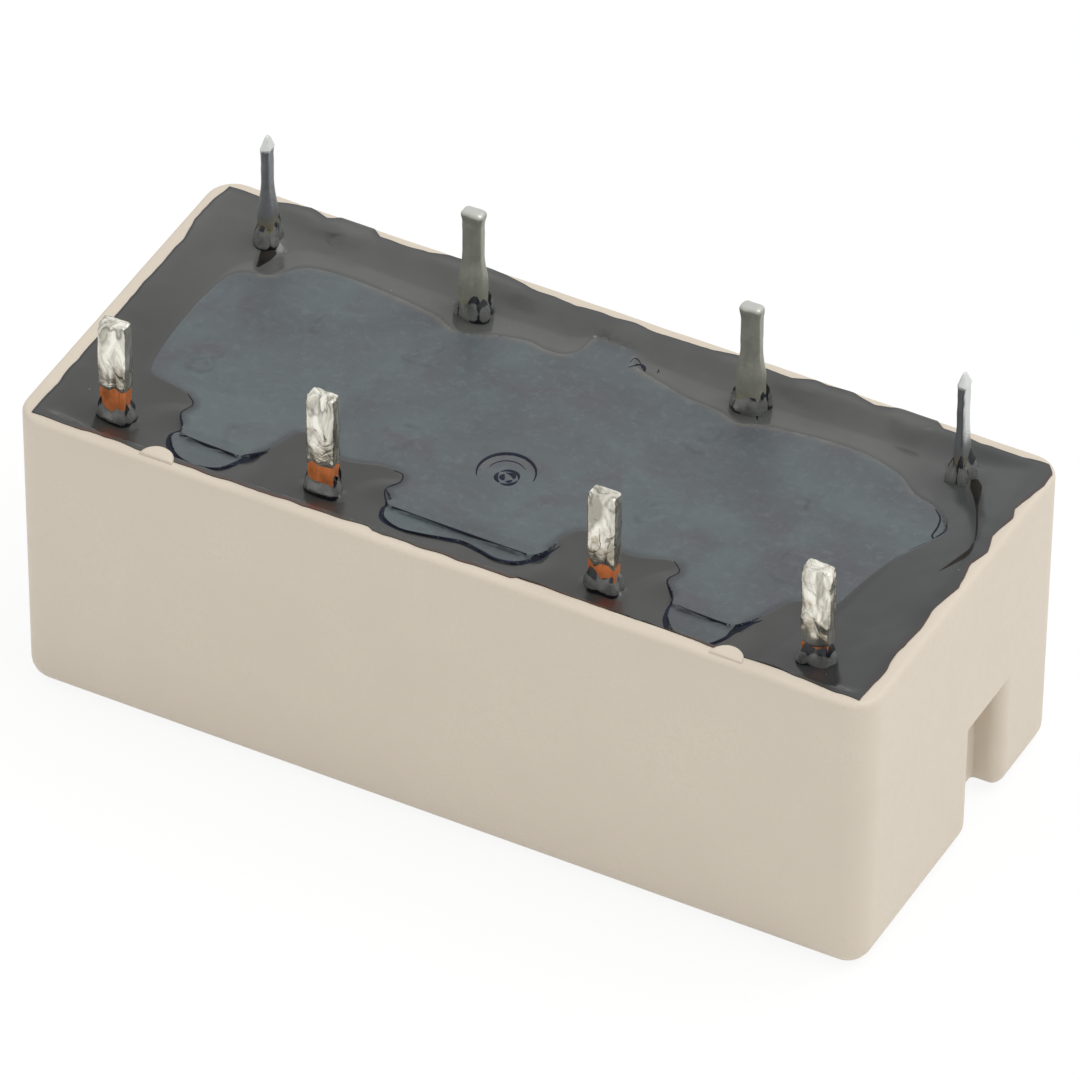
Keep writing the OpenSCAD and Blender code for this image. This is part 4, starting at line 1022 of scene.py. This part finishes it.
def resin_surface(looks, cover):
    """Height field of the cast resin on a grid that is stretched between its four ragged borders."""
    half_u, half_v = HALF_L - 0.5 * MM, HALF_W - 0.4 * MM
    u = even_places(-half_u, half_u, 0.066 * MM)
    v = dense_places(-half_v, half_v, -6.5 * MM, -2.8 * MM, 0.05 * MM, 0.09 * MM)
    edge_lines = np.array([0.015, 0.035]) * MM
    u = np.unique(np.concatenate([u, u[0] + edge_lines, u[-1] - edge_lines]))
    v = np.unique(np.concatenate([v, v[0] + edge_lines, v[-1] - edge_lines]))
    x, y = np.meshgrid(u, v)
    left, right, near, far = resin_borders(x, y)
    x = left + (right - left) * (x + half_u) / (2 * half_u)
    y = near + (far - near) * (y + half_v) / (2 * half_v)
    z = resin_height(x, y, looks, cover)
    on_border = np.zeros(z.shape, bool)
    on_border[[0, -1]] = on_border[:, [0, -1]] = True
    z = np.where(on_border, z - 2 * looks.film, z)

    # Painted shade: navy along the left and far borders, in a band by the far wall and darkening towards the
    # right end
    shady, sunny = np.minimum(x - left, far - y), np.minimum(right - x, y - near)
    crease = 0.65 * (1 - smoothstep(0.04 * MM, 0.14 * MM, shady))
    crease = np.maximum(crease, 0.3 * (1 - smoothstep(0.12 * MM, 0.34 * MM, far - y)))
    crease = np.maximum(crease, 0.4 * smoothstep(10 * MM, 13.5 * MM, x))
    patchy = smoothstep(-0.5, 0.4, value_noise(x, y, 1.4 * MM, 47))
    thin = 0.55 * (1 - smoothstep(0.03 * MM, 0.13 * MM, sunny)) * patchy
    # Painted reflection: the copper terminals mirrored as brown in the resin in front of each contact
    # terminal
    for column, share in zip(COLUMNS, COPPER_REFLECTION_SHARES):
        copper_reflection = hump(x, column + 0.45 * MM, 0.36 * MM) * (1 - smoothstep(0.85 * MM, 1.15 * MM, y - near))
        thin = np.maximum(thin, share * copper_reflection)
    # Painted sheen: the resin lightened towards the far side
    painted_far_sheen = smoothstep(-2 * MM, 6 * MM, y)
    inner_x, inner_y = HALF_L - cover.wall - 0.03 * MM, HALF_W - cover.wall - 0.03 * MM

    def sunk(ring, level):
        """The border scaled to fit inside the walls, at a level below it."""
        reach_x = np.where(ring[:, 0] > 0, x.max(), -x.min())
        reach_y = np.where(ring[:, 1] > 0, y.max(), -y.min())
        drawn_in = ring[:, :2] * np.column_stack([inner_x / reach_x, inner_y / reach_y])
        return np.column_stack([drawn_in, np.full(len(ring), level)])

    points, faces, extra = slab(x, y, z, [lambda ring: sunk(ring, RESIN_Z - 0.1 * MM),
                                          lambda ring: sunk(ring, PLATE_Z)])
    marks = {name: np.append(values.ravel(), np.zeros(extra)) for name, values in
             {"crease": crease, "thin": thin, "painted_far_sheen": painted_far_sheen}.items()}
    return points, faces, marks


def strip_loop(half_w, half_t, edge_r):
    """Path around a strip's section with small round edges: anchors and outward directions."""
    xs = np.linspace(edge_r - half_w, half_w - edge_r, 15)
    ys = np.linspace(edge_r - half_t, half_t - edge_r, 9)
    return rounded_loop(half_w - edge_r, half_t - edge_r, xs, ys, 4)


# Beads of resin at the terminals' feet: where they sit above the level resin, how far they reach past the
# metal, how high they rise and how deep their clefts are
BEAD_SEAT = 0.12 * MM
CONTACT_BEAD = (0.17 * MM, 0.66 * MM, 0.25)
BLADE_BEAD = (0.2 * MM, 0.78 * MM, 0.45)
POST_BEAD = (0.2 * MM, 0.95 * MM, 0.45)


def resin_bead(column, row, half_w, half_t, reach, rise, cleft, seed):
    """Collar of resin around a pin: a bulging profile carried round the pin, lumpy in its reach and its rise.

    The lumps are the arches of a sine's size round the pin, with clefts between them, on top of a sum of
    seven sine waves with seeded phases and sizes. Black painted shade marks the foot, the clefts and the top."""
    edge_r = 0.08 * MM
    anchors, outward = strip_loop(half_w, half_t, edge_r)
    share = np.array([0.5, 0.9, 1.04, 1.0, 0.9, 0.68, 0.42, 0.2, 0.06, 0.0])
    height = np.array([-0.35, -0.12, 0.08, 0.25, 0.45, 0.66, 0.82, 0.93, 1.0, 1.02])
    turn = np.arctan2(outward[:, 1] + anchors[:, 1] / half_t, outward[:, 0] + anchors[:, 0] / half_w)
    rng = np.random.default_rng(seed)
    waves = np.arange(1, 8)
    phases, sizes = rng.uniform(0, 2 * math.pi, (2, 7)), rng.uniform(0.3, 1, (2, 7))
    swings = np.sin(turn[None, :, None] * waves + phases[:, None])
    lumps, crest = (swings * (sizes / waves ** 0.5)[:, None]).sum(-1)
    arches = np.abs(np.sin(2 * turn + phases[0, 0] + 0.9 * np.sin(turn + phases[1, 0])))
    e = edge_r + reach * share[:, None] * (1 + 0.25 * lumps + cleft * (arches - 0.6))
    height = height[:, None]
    uneven = 0.3 * crest + 0.35 * cleft * (arches - 0.7)
    z = RESIN_Z + BEAD_SEAT + rise * height * (1 + uneven * (height > 0.3))
    px, py = column + anchors[:, 0] + e * outward[:, 0], row + anchors[:, 1] + e * outward[:, 1]
    # Painted shade: black at the bead's foot, at its top where it meets the metal, and in the clefts
    foot = hump(height, -0.05, 0.16) * smoothstep(-0.6, 0.3, lumps)
    top_shade = hump(height, 0.9, 0.2) * smoothstep(-0.4, 0.5, crest)
    split = cleft * hump(arches, 0.0, 0.24) * (share[:, None] > 0.3)
    return loft(np.stack([px, py, z], -1)), np.clip(foot + top_shade + split, 0, 1)


def resin_beads(pins):
    """One collar for each terminal: its wider and lower form for the contact row."""
    made = []
    for index, column in enumerate(COLUMNS):
        post = index in (0, 3)
        coil_w = pins.coil_post_w if post else pins.coil_blade_w
        coil_t = pins.coil_post_t if post else pins.coil_blade_t
        made.append(resin_bead(column, -ROW_Y, pins.blade_w / 2, pins.blade_t / 2, *CONTACT_BEAD, 60 + index))
        made.append(resin_bead(column, ROW_Y, coil_w / 2 + pins.flare / 2, coil_t / 2 + pins.flare / 2,
                               *(POST_BEAD if post else BLADE_BEAD), 70 + index))
    creases = np.concatenate([crease.ravel() for _, crease in made])
    return (*joined([bead for bead, _ in made]), {"crease": creases})


# How much each group of listed lines is widened, and how far it stands above the resin
CREASE_WIDEN, CREASE_LIFT = 1.25, 0.014 * MM
STEP_WIDEN, STEP_LIFT = 0.85, 0.012 * MM
FLAW_WIDEN, FLAW_LIFT = 1.3, 0.012 * MM
REFLECTION_WIDEN, REFLECTION_LIFT = 1.6, 0.01 * MM


class RELAY_OT_resin(bpy.types.Operator):
    """Casts the resin around the land and the terminals, with painted shade in its creases, its flaws and
    painted reflections of the thin posts
    """
    bl_idname = "relay.resin"
    bl_label = "Resin"

    def execute(self, context):
        looks, cover = context.scene.relay_pour, context.scene.relay_cover
        points, faces, marks = resin_surface(looks, cover)
        epoxy = cast_resin(looks)
        pour = add_piece("resin_pour", points, faces, epoxy, "resin", marks)
        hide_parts("seal_resin")
        dress("seal_resin", epoxy)
        points, faces, marks = resin_beads(context.scene.relay_terminals)
        add_piece("resin_beads", points, faces, bead_resin(looks), "resin", marks)

        def height(x, y):
            return np.maximum(land_height(x, y, looks), resin_height(x, y, looks, cover))

        # Painted shade in the crevices round the lips and along their steps; the flaws are real dark marks
        points, faces, marks = marked_ribbons([
            (hand_lines(LIP_CREASES, CREASE_WIDEN), CREASE_LIFT, 0.0),
            (hand_lines(LIP_STEPS, STEP_WIDEN), STEP_LIFT, 0.1),
            (hand_lines(FLAWS, FLAW_WIDEN), FLAW_LIFT, 0.0)], height)
        add_piece("resin_crevices", points, faces, crevice_dark(looks), "resin", marks)
        # Painted reflections of the thin posts in the resin
        points, faces, marks = marked_ribbons([
            (hand_lines(POST_REFLECTIONS, REFLECTION_WIDEN), REFLECTION_LIFT, 0.0)], height)
        add_piece("resin_post_reflections", points, faces, painted_post_reflection(), "resin", marks)
        return {"FINISHED"}


# Terminals

# How much further the tin runs down each contact terminal, in the order of their columns
TIN_DRIPS = (-0.2 * MM, 0.0, 0.05 * MM, 0.28 * MM)


def contact_coat(column, drip, pins, seed):
    """Dipped tin on a contact terminal: its section carried from a ragged lower edge up over the tip.

    The skin swells from nothing to its full thickness, noise folds it along the blade, and five rings that
    shrink about the axis close it in an uneven crown above the tip."""
    edge_r = 0.03 * MM
    anchors, outward = strip_loop(pins.blade_w / 2, pins.blade_t / 2, edge_r)
    ax, ay = anchors.T[:, None]
    out_x, out_y = outward.T[:, None]
    run = np.linspace(0, 1, 50)[:, None]
    low = pins.bare_top - drip + 0.16 * MM * value_noise(ax + seed * MM, ay, 0.22 * MM, seed)
    z = low + (CONTACT_TIP_Z - low) * run
    folds = 1 - 2 * np.abs(value_noise(ax + ay + seed * MM, 0.3 * z, 0.22 * MM, seed + 1))
    dents = value_noise(ax - ay + seed * MM, z, 0.4 * MM, seed + 2)
    e = edge_r + 0.006 * MM + pins.skin * (1 + 0.4 * folds + 0.25 * dents) * smoothstep(0, 0.05, run)
    narrow = 1 - 0.1 * smoothstep(CONTACT_TIP_Z - 0.25 * MM, CONTACT_TIP_Z, z)
    x, y = narrow * ax + e * out_x, ay + e * out_y
    inset = np.array([0.01, 0.035, 0.08, 0.14, 0.19])[:, None] * MM
    lift = np.array([0.018, 0.034, 0.042, 0.046, 0.048])[:, None] * MM
    rough = np.array([0.012, 0.024, 0.022, 0.012, 0.0])[:, None] * MM
    uneven = rough * (1 + value_noise(ax + seed * MM, 2 * ay, 0.25 * MM, seed + 3))
    x = column + np.concatenate([x, x[-1] * (1 - 2 * inset / pins.blade_w)])
    y = -ROW_Y + np.concatenate([y, y[-1] * (1 - 2 * inset / pins.blade_t)])
    return loft(np.stack([x, y, np.concatenate([z, z[-1] + lift + uneven])], -1))


# Heights on the coil terminals: the flare's lower and upper end, and where the painted highlight and the
# painted edge shade fade in
FLARE_LOW, FLARE_HIGH = 12.1 * MM, 13.4 * MM
HIGHLIGHT_LOW, HIGHLIGHT_FULL = 12.4 * MM, 12.9 * MM
EDGE_SHADE_LOW, EDGE_SHADE_FULL = 12.2 * MM, 12.6 * MM
POST_FOOT_Z, BLADE_FOOT_Z = 12.3 * MM, 12.0 * MM
# Lengths of a post's point and of a blade's dome, in millimetres below the tip
POINT_MM, DOME_MM = 0.46, 0.14


def coil_coat(node, half_w, half_t, pointed, seed, pins):
    """Coil terminal with its tin: the section carried up from its low end, flared at the foot.

    A thin post swells and ends in a point, and a blade swells into a blunt dome. The right post has a painted
    highlight down its right face, with a dark band of painted shade on the edge beside it, and flares less."""
    column, row, low, tip = column_of(node)
    edge_r = 0.1 * MM
    anchors, outward = strip_loop(half_w, half_t, edge_r)
    ax, ay = anchors.T[:, None]
    z = np.concatenate([[low], np.linspace(RESIN_Z - 0.1 * MM, tip - 0.72 * MM, 34),
                        tip - 0.7 * MM * (1 - np.linspace(0, 1, 30) ** 0.8)])[:, None]
    below = (tip - z) / MM
    above = smoothstep(RESIN_Z - 0.1 * MM, RESIN_Z, z)
    on_right_post = 1.0 if node.startswith("outer_right") else 0.0
    flare = pins.flare * (1 - 0.5 * on_right_post) * (1 - smoothstep(FLARE_LOW, FLARE_HIGH, z)) * above
    if pointed:
        swell = 0.025 * hump(below, POINT_MM, 0.14)
        taper = 0.1 + 0.9 * np.clip(below / POINT_MM, 0, 1) ** 0.55
        tip_mark, foot_z, foot_share = 1 - smoothstep(0.45, 0.6, below), POST_FOOT_Z, 0.55
    else:
        swell = 0.045 * hump(below, 0.16, 0.22)
        dome = 1 - np.sqrt(np.clip(1 - (1 - below / DOME_MM) ** 2, 0, 1))
        taper = 1 - 0.45 * dome * (below < DOME_MM)
        tip_mark, foot_z, foot_share = 0.55 * (1 - smoothstep(0.0, 0.16, below)), BLADE_FOOT_Z, 0.25
    rough = value_noise(ax + ay + seed * MM, z, 0.25 * MM, seed)
    e = edge_r + flare + above * MM * (swell + (0.01 + 0.4 * swell) * rough)
    x, y = column + taper * (ax + e * outward[:, 0]), row + taper * (ay + e * outward[:, 1])
    foot = foot_share * (1 - smoothstep(foot_z - 0.7 * MM, foot_z, z))
    flat = np.zeros(x.shape)
    facing = outward[:, 0] + 0.2 * rough
    # Painted highlight: the right post's right face made bright; painted shade on the edge beside it
    painted_highlight = on_right_post * smoothstep(0.55, 0.8, facing) * smoothstep(HIGHLIGHT_LOW, HIGHLIGHT_FULL, z)
    seam = on_right_post * hump(facing, 0.4, 0.22) * smoothstep(EDGE_SHADE_LOW, EDGE_SHADE_FULL, z)
    marks = {"tip": np.maximum(tip_mark + flat, 0.85 * painted_highlight), "foot": foot + flat,
             "post": flat + (0.85 if pointed else 0.0), "seam": 0.8 * seam + flat}
    return loft(np.stack([x, y, z + flat], -1)), marks


class RELAY_OT_contact_terminals(bpy.types.Operator):
    """Dips the contact terminals in tin and leaves a band of copper bare"""
    bl_idname = "relay.contact_terminals"
    bl_label = "Contact terminals"

    def execute(self, context):
        pins = context.scene.relay_terminals
        tin, copper = dipped_tin(pins), bare_copper(pins)
        for index, (name, column, drip) in enumerate(zip(CONTACT_NAMES, COLUMNS, TIN_DRIPS)):
            coat = contact_coat(column, drip, pins, 80 + 5 * index)
            add_piece(f"{name}_tin", *coat, tin, "contact_terminal")
            dress(f"{name}_terminal", copper)
        return {"FINISHED"}


class RELAY_OT_coil_terminals(bpy.types.Operator):
    """Makes the coil terminals with their weathered tin, two blades and two thin posts"""
    bl_idname = "relay.coil_terminals"
    bl_label = "Coil terminals"

    def execute(self, context):
        pins = context.scene.relay_terminals
        tin = coil_pin_tin(pins)
        for index, name in enumerate(COIL_NAMES):
            node = f"{name}_coil_terminal"
            post = name.startswith("outer")
            half_w = (pins.coil_post_w if post else pins.coil_blade_w) / 2
            half_t = (pins.coil_post_t if post else pins.coil_blade_t) / 2
            surface, marks = coil_coat(node, half_w, half_t, post, 95 + index, pins)
            pin = add_piece(f"{name}_coil_pin", *surface, tin, "coil_terminal", marks, math.radians(50))
            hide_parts(node)
            dress(node, tin)
        return {"FINISHED"}


# Mechanism inside

class RELAY_OT_mechanism(bpy.types.Operator):
    """Gives the coil, magnets, armature, springs and contacts inside their finishes"""
    bl_idname = "relay.mechanism"
    bl_label = "Mechanism"

    def execute(self, context):
        iron = metal("annealed_iron", srgb(142, 144, 147), 0.42, (0.2, 1.0, 1.0))
        steel = metal("drawn_steel", srgb(190, 192, 194), 0.28, (1.0, 1.0, 0.2))
        bronze = metal("spring_bronze", srgb(206, 160, 92), 0.3, (0.2, 1.0, 1.0))
        silver = metal("contact_silver", srgb(226, 223, 214), 0.26, (1.0, 0.3, 1.0))
        rivet = metal("rivet_copper", srgb(200, 142, 92), 0.36, (1.0, 0.3, 1.0))
        wire = wound_wire("coil_wire", srgb(176, 92, 48), 0.12)
        card = moulded("card_plastic", srgb(230, 226, 214), 0.5)
        finishes = {"coil_bobbin": moulded("bobbin_plastic", srgb(60, 63, 66), 0.5), "coil_winding": wire,
                    "front_pole_plate": iron, "rear_pole_plate": iron, "armature": iron,
                    "armature_pivot": steel}
        magnet = metal("sintered_magnet", srgb(88, 91, 95), 0.55, (1.0, 1.0, 1.0), stain=0.85)
        for side in ("left", "right"):
            finishes |= {f"{side}_magnet": magnet, f"{side}_card": card, f"{side}_moving_spring": bronze,
                         f"{side}_moving_contact": silver, f"{side}_fixed_contact": silver,
                         f"{side}_spring_rivet": rivet, f"outer_{side}_coil_lead": wire,
                         f"inner_{side}_coil_lead": wire}
        for node, material in finishes.items():
            dress(node, material)
        return {"FINISHED"}


# Stage

def seen_share(tree):
    """1 for rays that come from the camera, a mirror or clear matter, and 0 for those that carry light."""
    path = tree.nodes.new("ShaderNodeLightPath")
    total = path.outputs["Is Camera Ray"]
    for ray in ("Is Glossy Ray", "Is Transmission Ray"):
        larger = tree.nodes.new("ShaderNodeMath")
        larger.operation = "MAXIMUM"
        tree.links.new(total, larger.inputs[0])
        tree.links.new(path.outputs[ray], larger.inputs[1])
        total = larger.outputs[0]
    return total


def white_floor(looks):
    """Floor that looks white and keeps a soft shadow: part glow where it is seen, part plain matt paint."""
    material = bpy.data.materials.new("white_floor")
    material.use_nodes = True
    tree = material.node_tree
    paint = tree.nodes["Principled BSDF"]
    paint.inputs["Base Color"].default_value = (*looks.floor, 1)
    paint.inputs["Roughness"].default_value = 0.9
    glow = tree.nodes.new("ShaderNodeEmission")
    glow.inputs["Strength"].default_value = 1.0
    share = tree.nodes.new("ShaderNodeMath")
    share.operation = "MULTIPLY"
    share.inputs[1].default_value = 0.88
    tree.links.new(seen_share(tree), share.inputs[0])
    both = tree.nodes.new("ShaderNodeMixShader")
    tree.links.new(share.outputs[0], both.inputs[0])
    tree.links.new(paint.outputs[0], both.inputs[1])
    tree.links.new(glow.outputs[0], both.inputs[2])
    tree.links.new(both.outputs[0], tree.nodes["Material Output"].inputs["Surface"])
    return material


def floor_surface(half, sag):
    """Square sheet on a grid, level under the relay and sinking with the fourth power of the distance."""
    side = np.linspace(-half, half, 33)
    x, y = np.meshgrid(side, side)
    z = -0.01 * MM - sag * ((x / half) ** 2 + (y / half) ** 2) ** 2
    return np.stack([x, y, z], -1).reshape(-1, 3), grid_quads(*x.shape)


FLOOR_HALF, FLOOR_SAG = 1.5, 0.05
KEY_SIZE = 0.3
KEY_PLACE = (0.19, 0.10, 0.45)
SENSOR_MM = 36


class RELAY_OT_stage(bpy.types.Operator):
    """Sets the floor, the light and the camera"""
    bl_idname = "relay.stage"
    bl_label = "Stage"

    def execute(self, context):
        looks = context.scene.relay_stage
        scene = context.scene
        points, faces = floor_surface(FLOOR_HALF, FLOOR_SAG)
        mesh = bpy.data.meshes.new("floor")
        mesh.from_pydata(points.tolist(), [], faces.tolist())
        mesh.shade_smooth()
        mesh.materials.append(white_floor(looks))
        floor = bpy.data.objects.new("floor", mesh)
        scene.collection.objects.link(floor)

        world = bpy.data.worlds.new("studio")
        scene.world = world
        world.use_nodes = True
        tree = world.node_tree
        light = tree.nodes["Background"]
        light.inputs["Color"].default_value = (1, 1, 1, 1)
        light.inputs["Strength"].default_value = looks.sky
        white = tree.nodes.new("ShaderNodeBackground")
        white.inputs["Color"].default_value = (1, 1, 1, 1)
        both = tree.nodes.new("ShaderNodeMixShader")
        tree.links.new(seen_share(tree), both.inputs[0])
        tree.links.new(light.outputs[0], both.inputs[1])
        tree.links.new(white.outputs[0], both.inputs[2])
        tree.links.new(both.outputs[0], tree.nodes["World Output"].inputs["Surface"])

        lamp = bpy.data.lights.new("key_lamp", "AREA")
        lamp.size = KEY_SIZE
        lamp.energy = looks.key
        key = bpy.data.objects.new("key_lamp", lamp)
        key.location = KEY_PLACE
        key.rotation_mode = "QUATERNION"
        key.rotation_quaternion = Vector(key.location).to_track_quat("Z", "Y")
        scene.collection.objects.link(key)

        turn, lift = looks.azimuth, looks.elevation
        back = Vector((math.sin(turn) * math.cos(lift), -math.cos(turn) * math.cos(lift), math.sin(lift)))
        right = Vector((math.cos(turn), math.sin(turn), 0))
        up = back.cross(right)
        rolled_right = math.cos(looks.roll) * right + math.sin(looks.roll) * up
        rolled_up = math.cos(looks.roll) * up - math.sin(looks.roll) * right
        aim = Vector((0, 0, looks.aim_z)) + looks.aim_right * rolled_right + looks.aim_up * rolled_up
        lens = bpy.data.cameras.new("camera")
        lens.lens = looks.lens
        lens.sensor_width = SENSOR_MM
        lens.clip_start, lens.clip_end = 0.01, 20
        camera = bpy.data.objects.new("camera", lens)
        camera.matrix_world = Matrix.Translation(aim + looks.distance * back) @ Matrix(
            (rolled_right, rolled_up, back)).transposed().to_4x4()
        scene.collection.objects.link(camera)
        scene.camera = camera
        scene.view_settings.view_transform = "Standard"
        return {"FINISHED"}


class RELAY_PT_looks(bpy.types.Panel):
    """Lists the steps of the relay's looks and their settings"""
    bl_idname = "RELAY_PT_looks"
    bl_label = "Relay looks"
    bl_space_type = "VIEW_3D"
    bl_region_type = "UI"
    bl_category = "Relay"

    def draw(self, context):
        for operator in OPERATORS:
            self.layout.operator(operator.bl_idname)
        for name in SETTINGS:
            group = getattr(context.scene, name)
            box = self.layout.box()
            for key in group.bl_rna.properties.keys():
                if key not in ("rna_type", "name"):
                    box.prop(group, key)


SETTINGS = {"relay_cover": CoverSettings, "relay_pour": PourSettings, "relay_terminals": TerminalSettings,
            "relay_stage": StageSettings}
OPERATORS = (RELAY_OT_cover, RELAY_OT_base, RELAY_OT_resin, RELAY_OT_contact_terminals,
             RELAY_OT_coil_terminals, RELAY_OT_mechanism, RELAY_OT_stage)
CLASSES = (*SETTINGS.values(), *OPERATORS, RELAY_PT_looks)


def register():
    """Registers the classes and hangs the settings on the scene."""
    for item in CLASSES:
        bpy.utils.register_class(item)
    for name, group in SETTINGS.items():
        setattr(bpy.types.Scene, name, PointerProperty(type=group))


def unregister():
    """Takes the settings and the classes away again."""
    for name in SETTINGS:
        delattr(bpy.types.Scene, name)
    for item in reversed(CLASSES):
        bpy.utils.unregister_class(item)


def main():
    """Registers the add-on and runs its steps in order."""
    register()
    bpy.ops.relay.cover()
    bpy.ops.relay.base()
    bpy.ops.relay.resin()
    bpy.ops.relay.contact_terminals()
    bpy.ops.relay.coil_terminals()
    bpy.ops.relay.mechanism()
    bpy.ops.relay.stage()


if __name__ == "__main__":
    main()
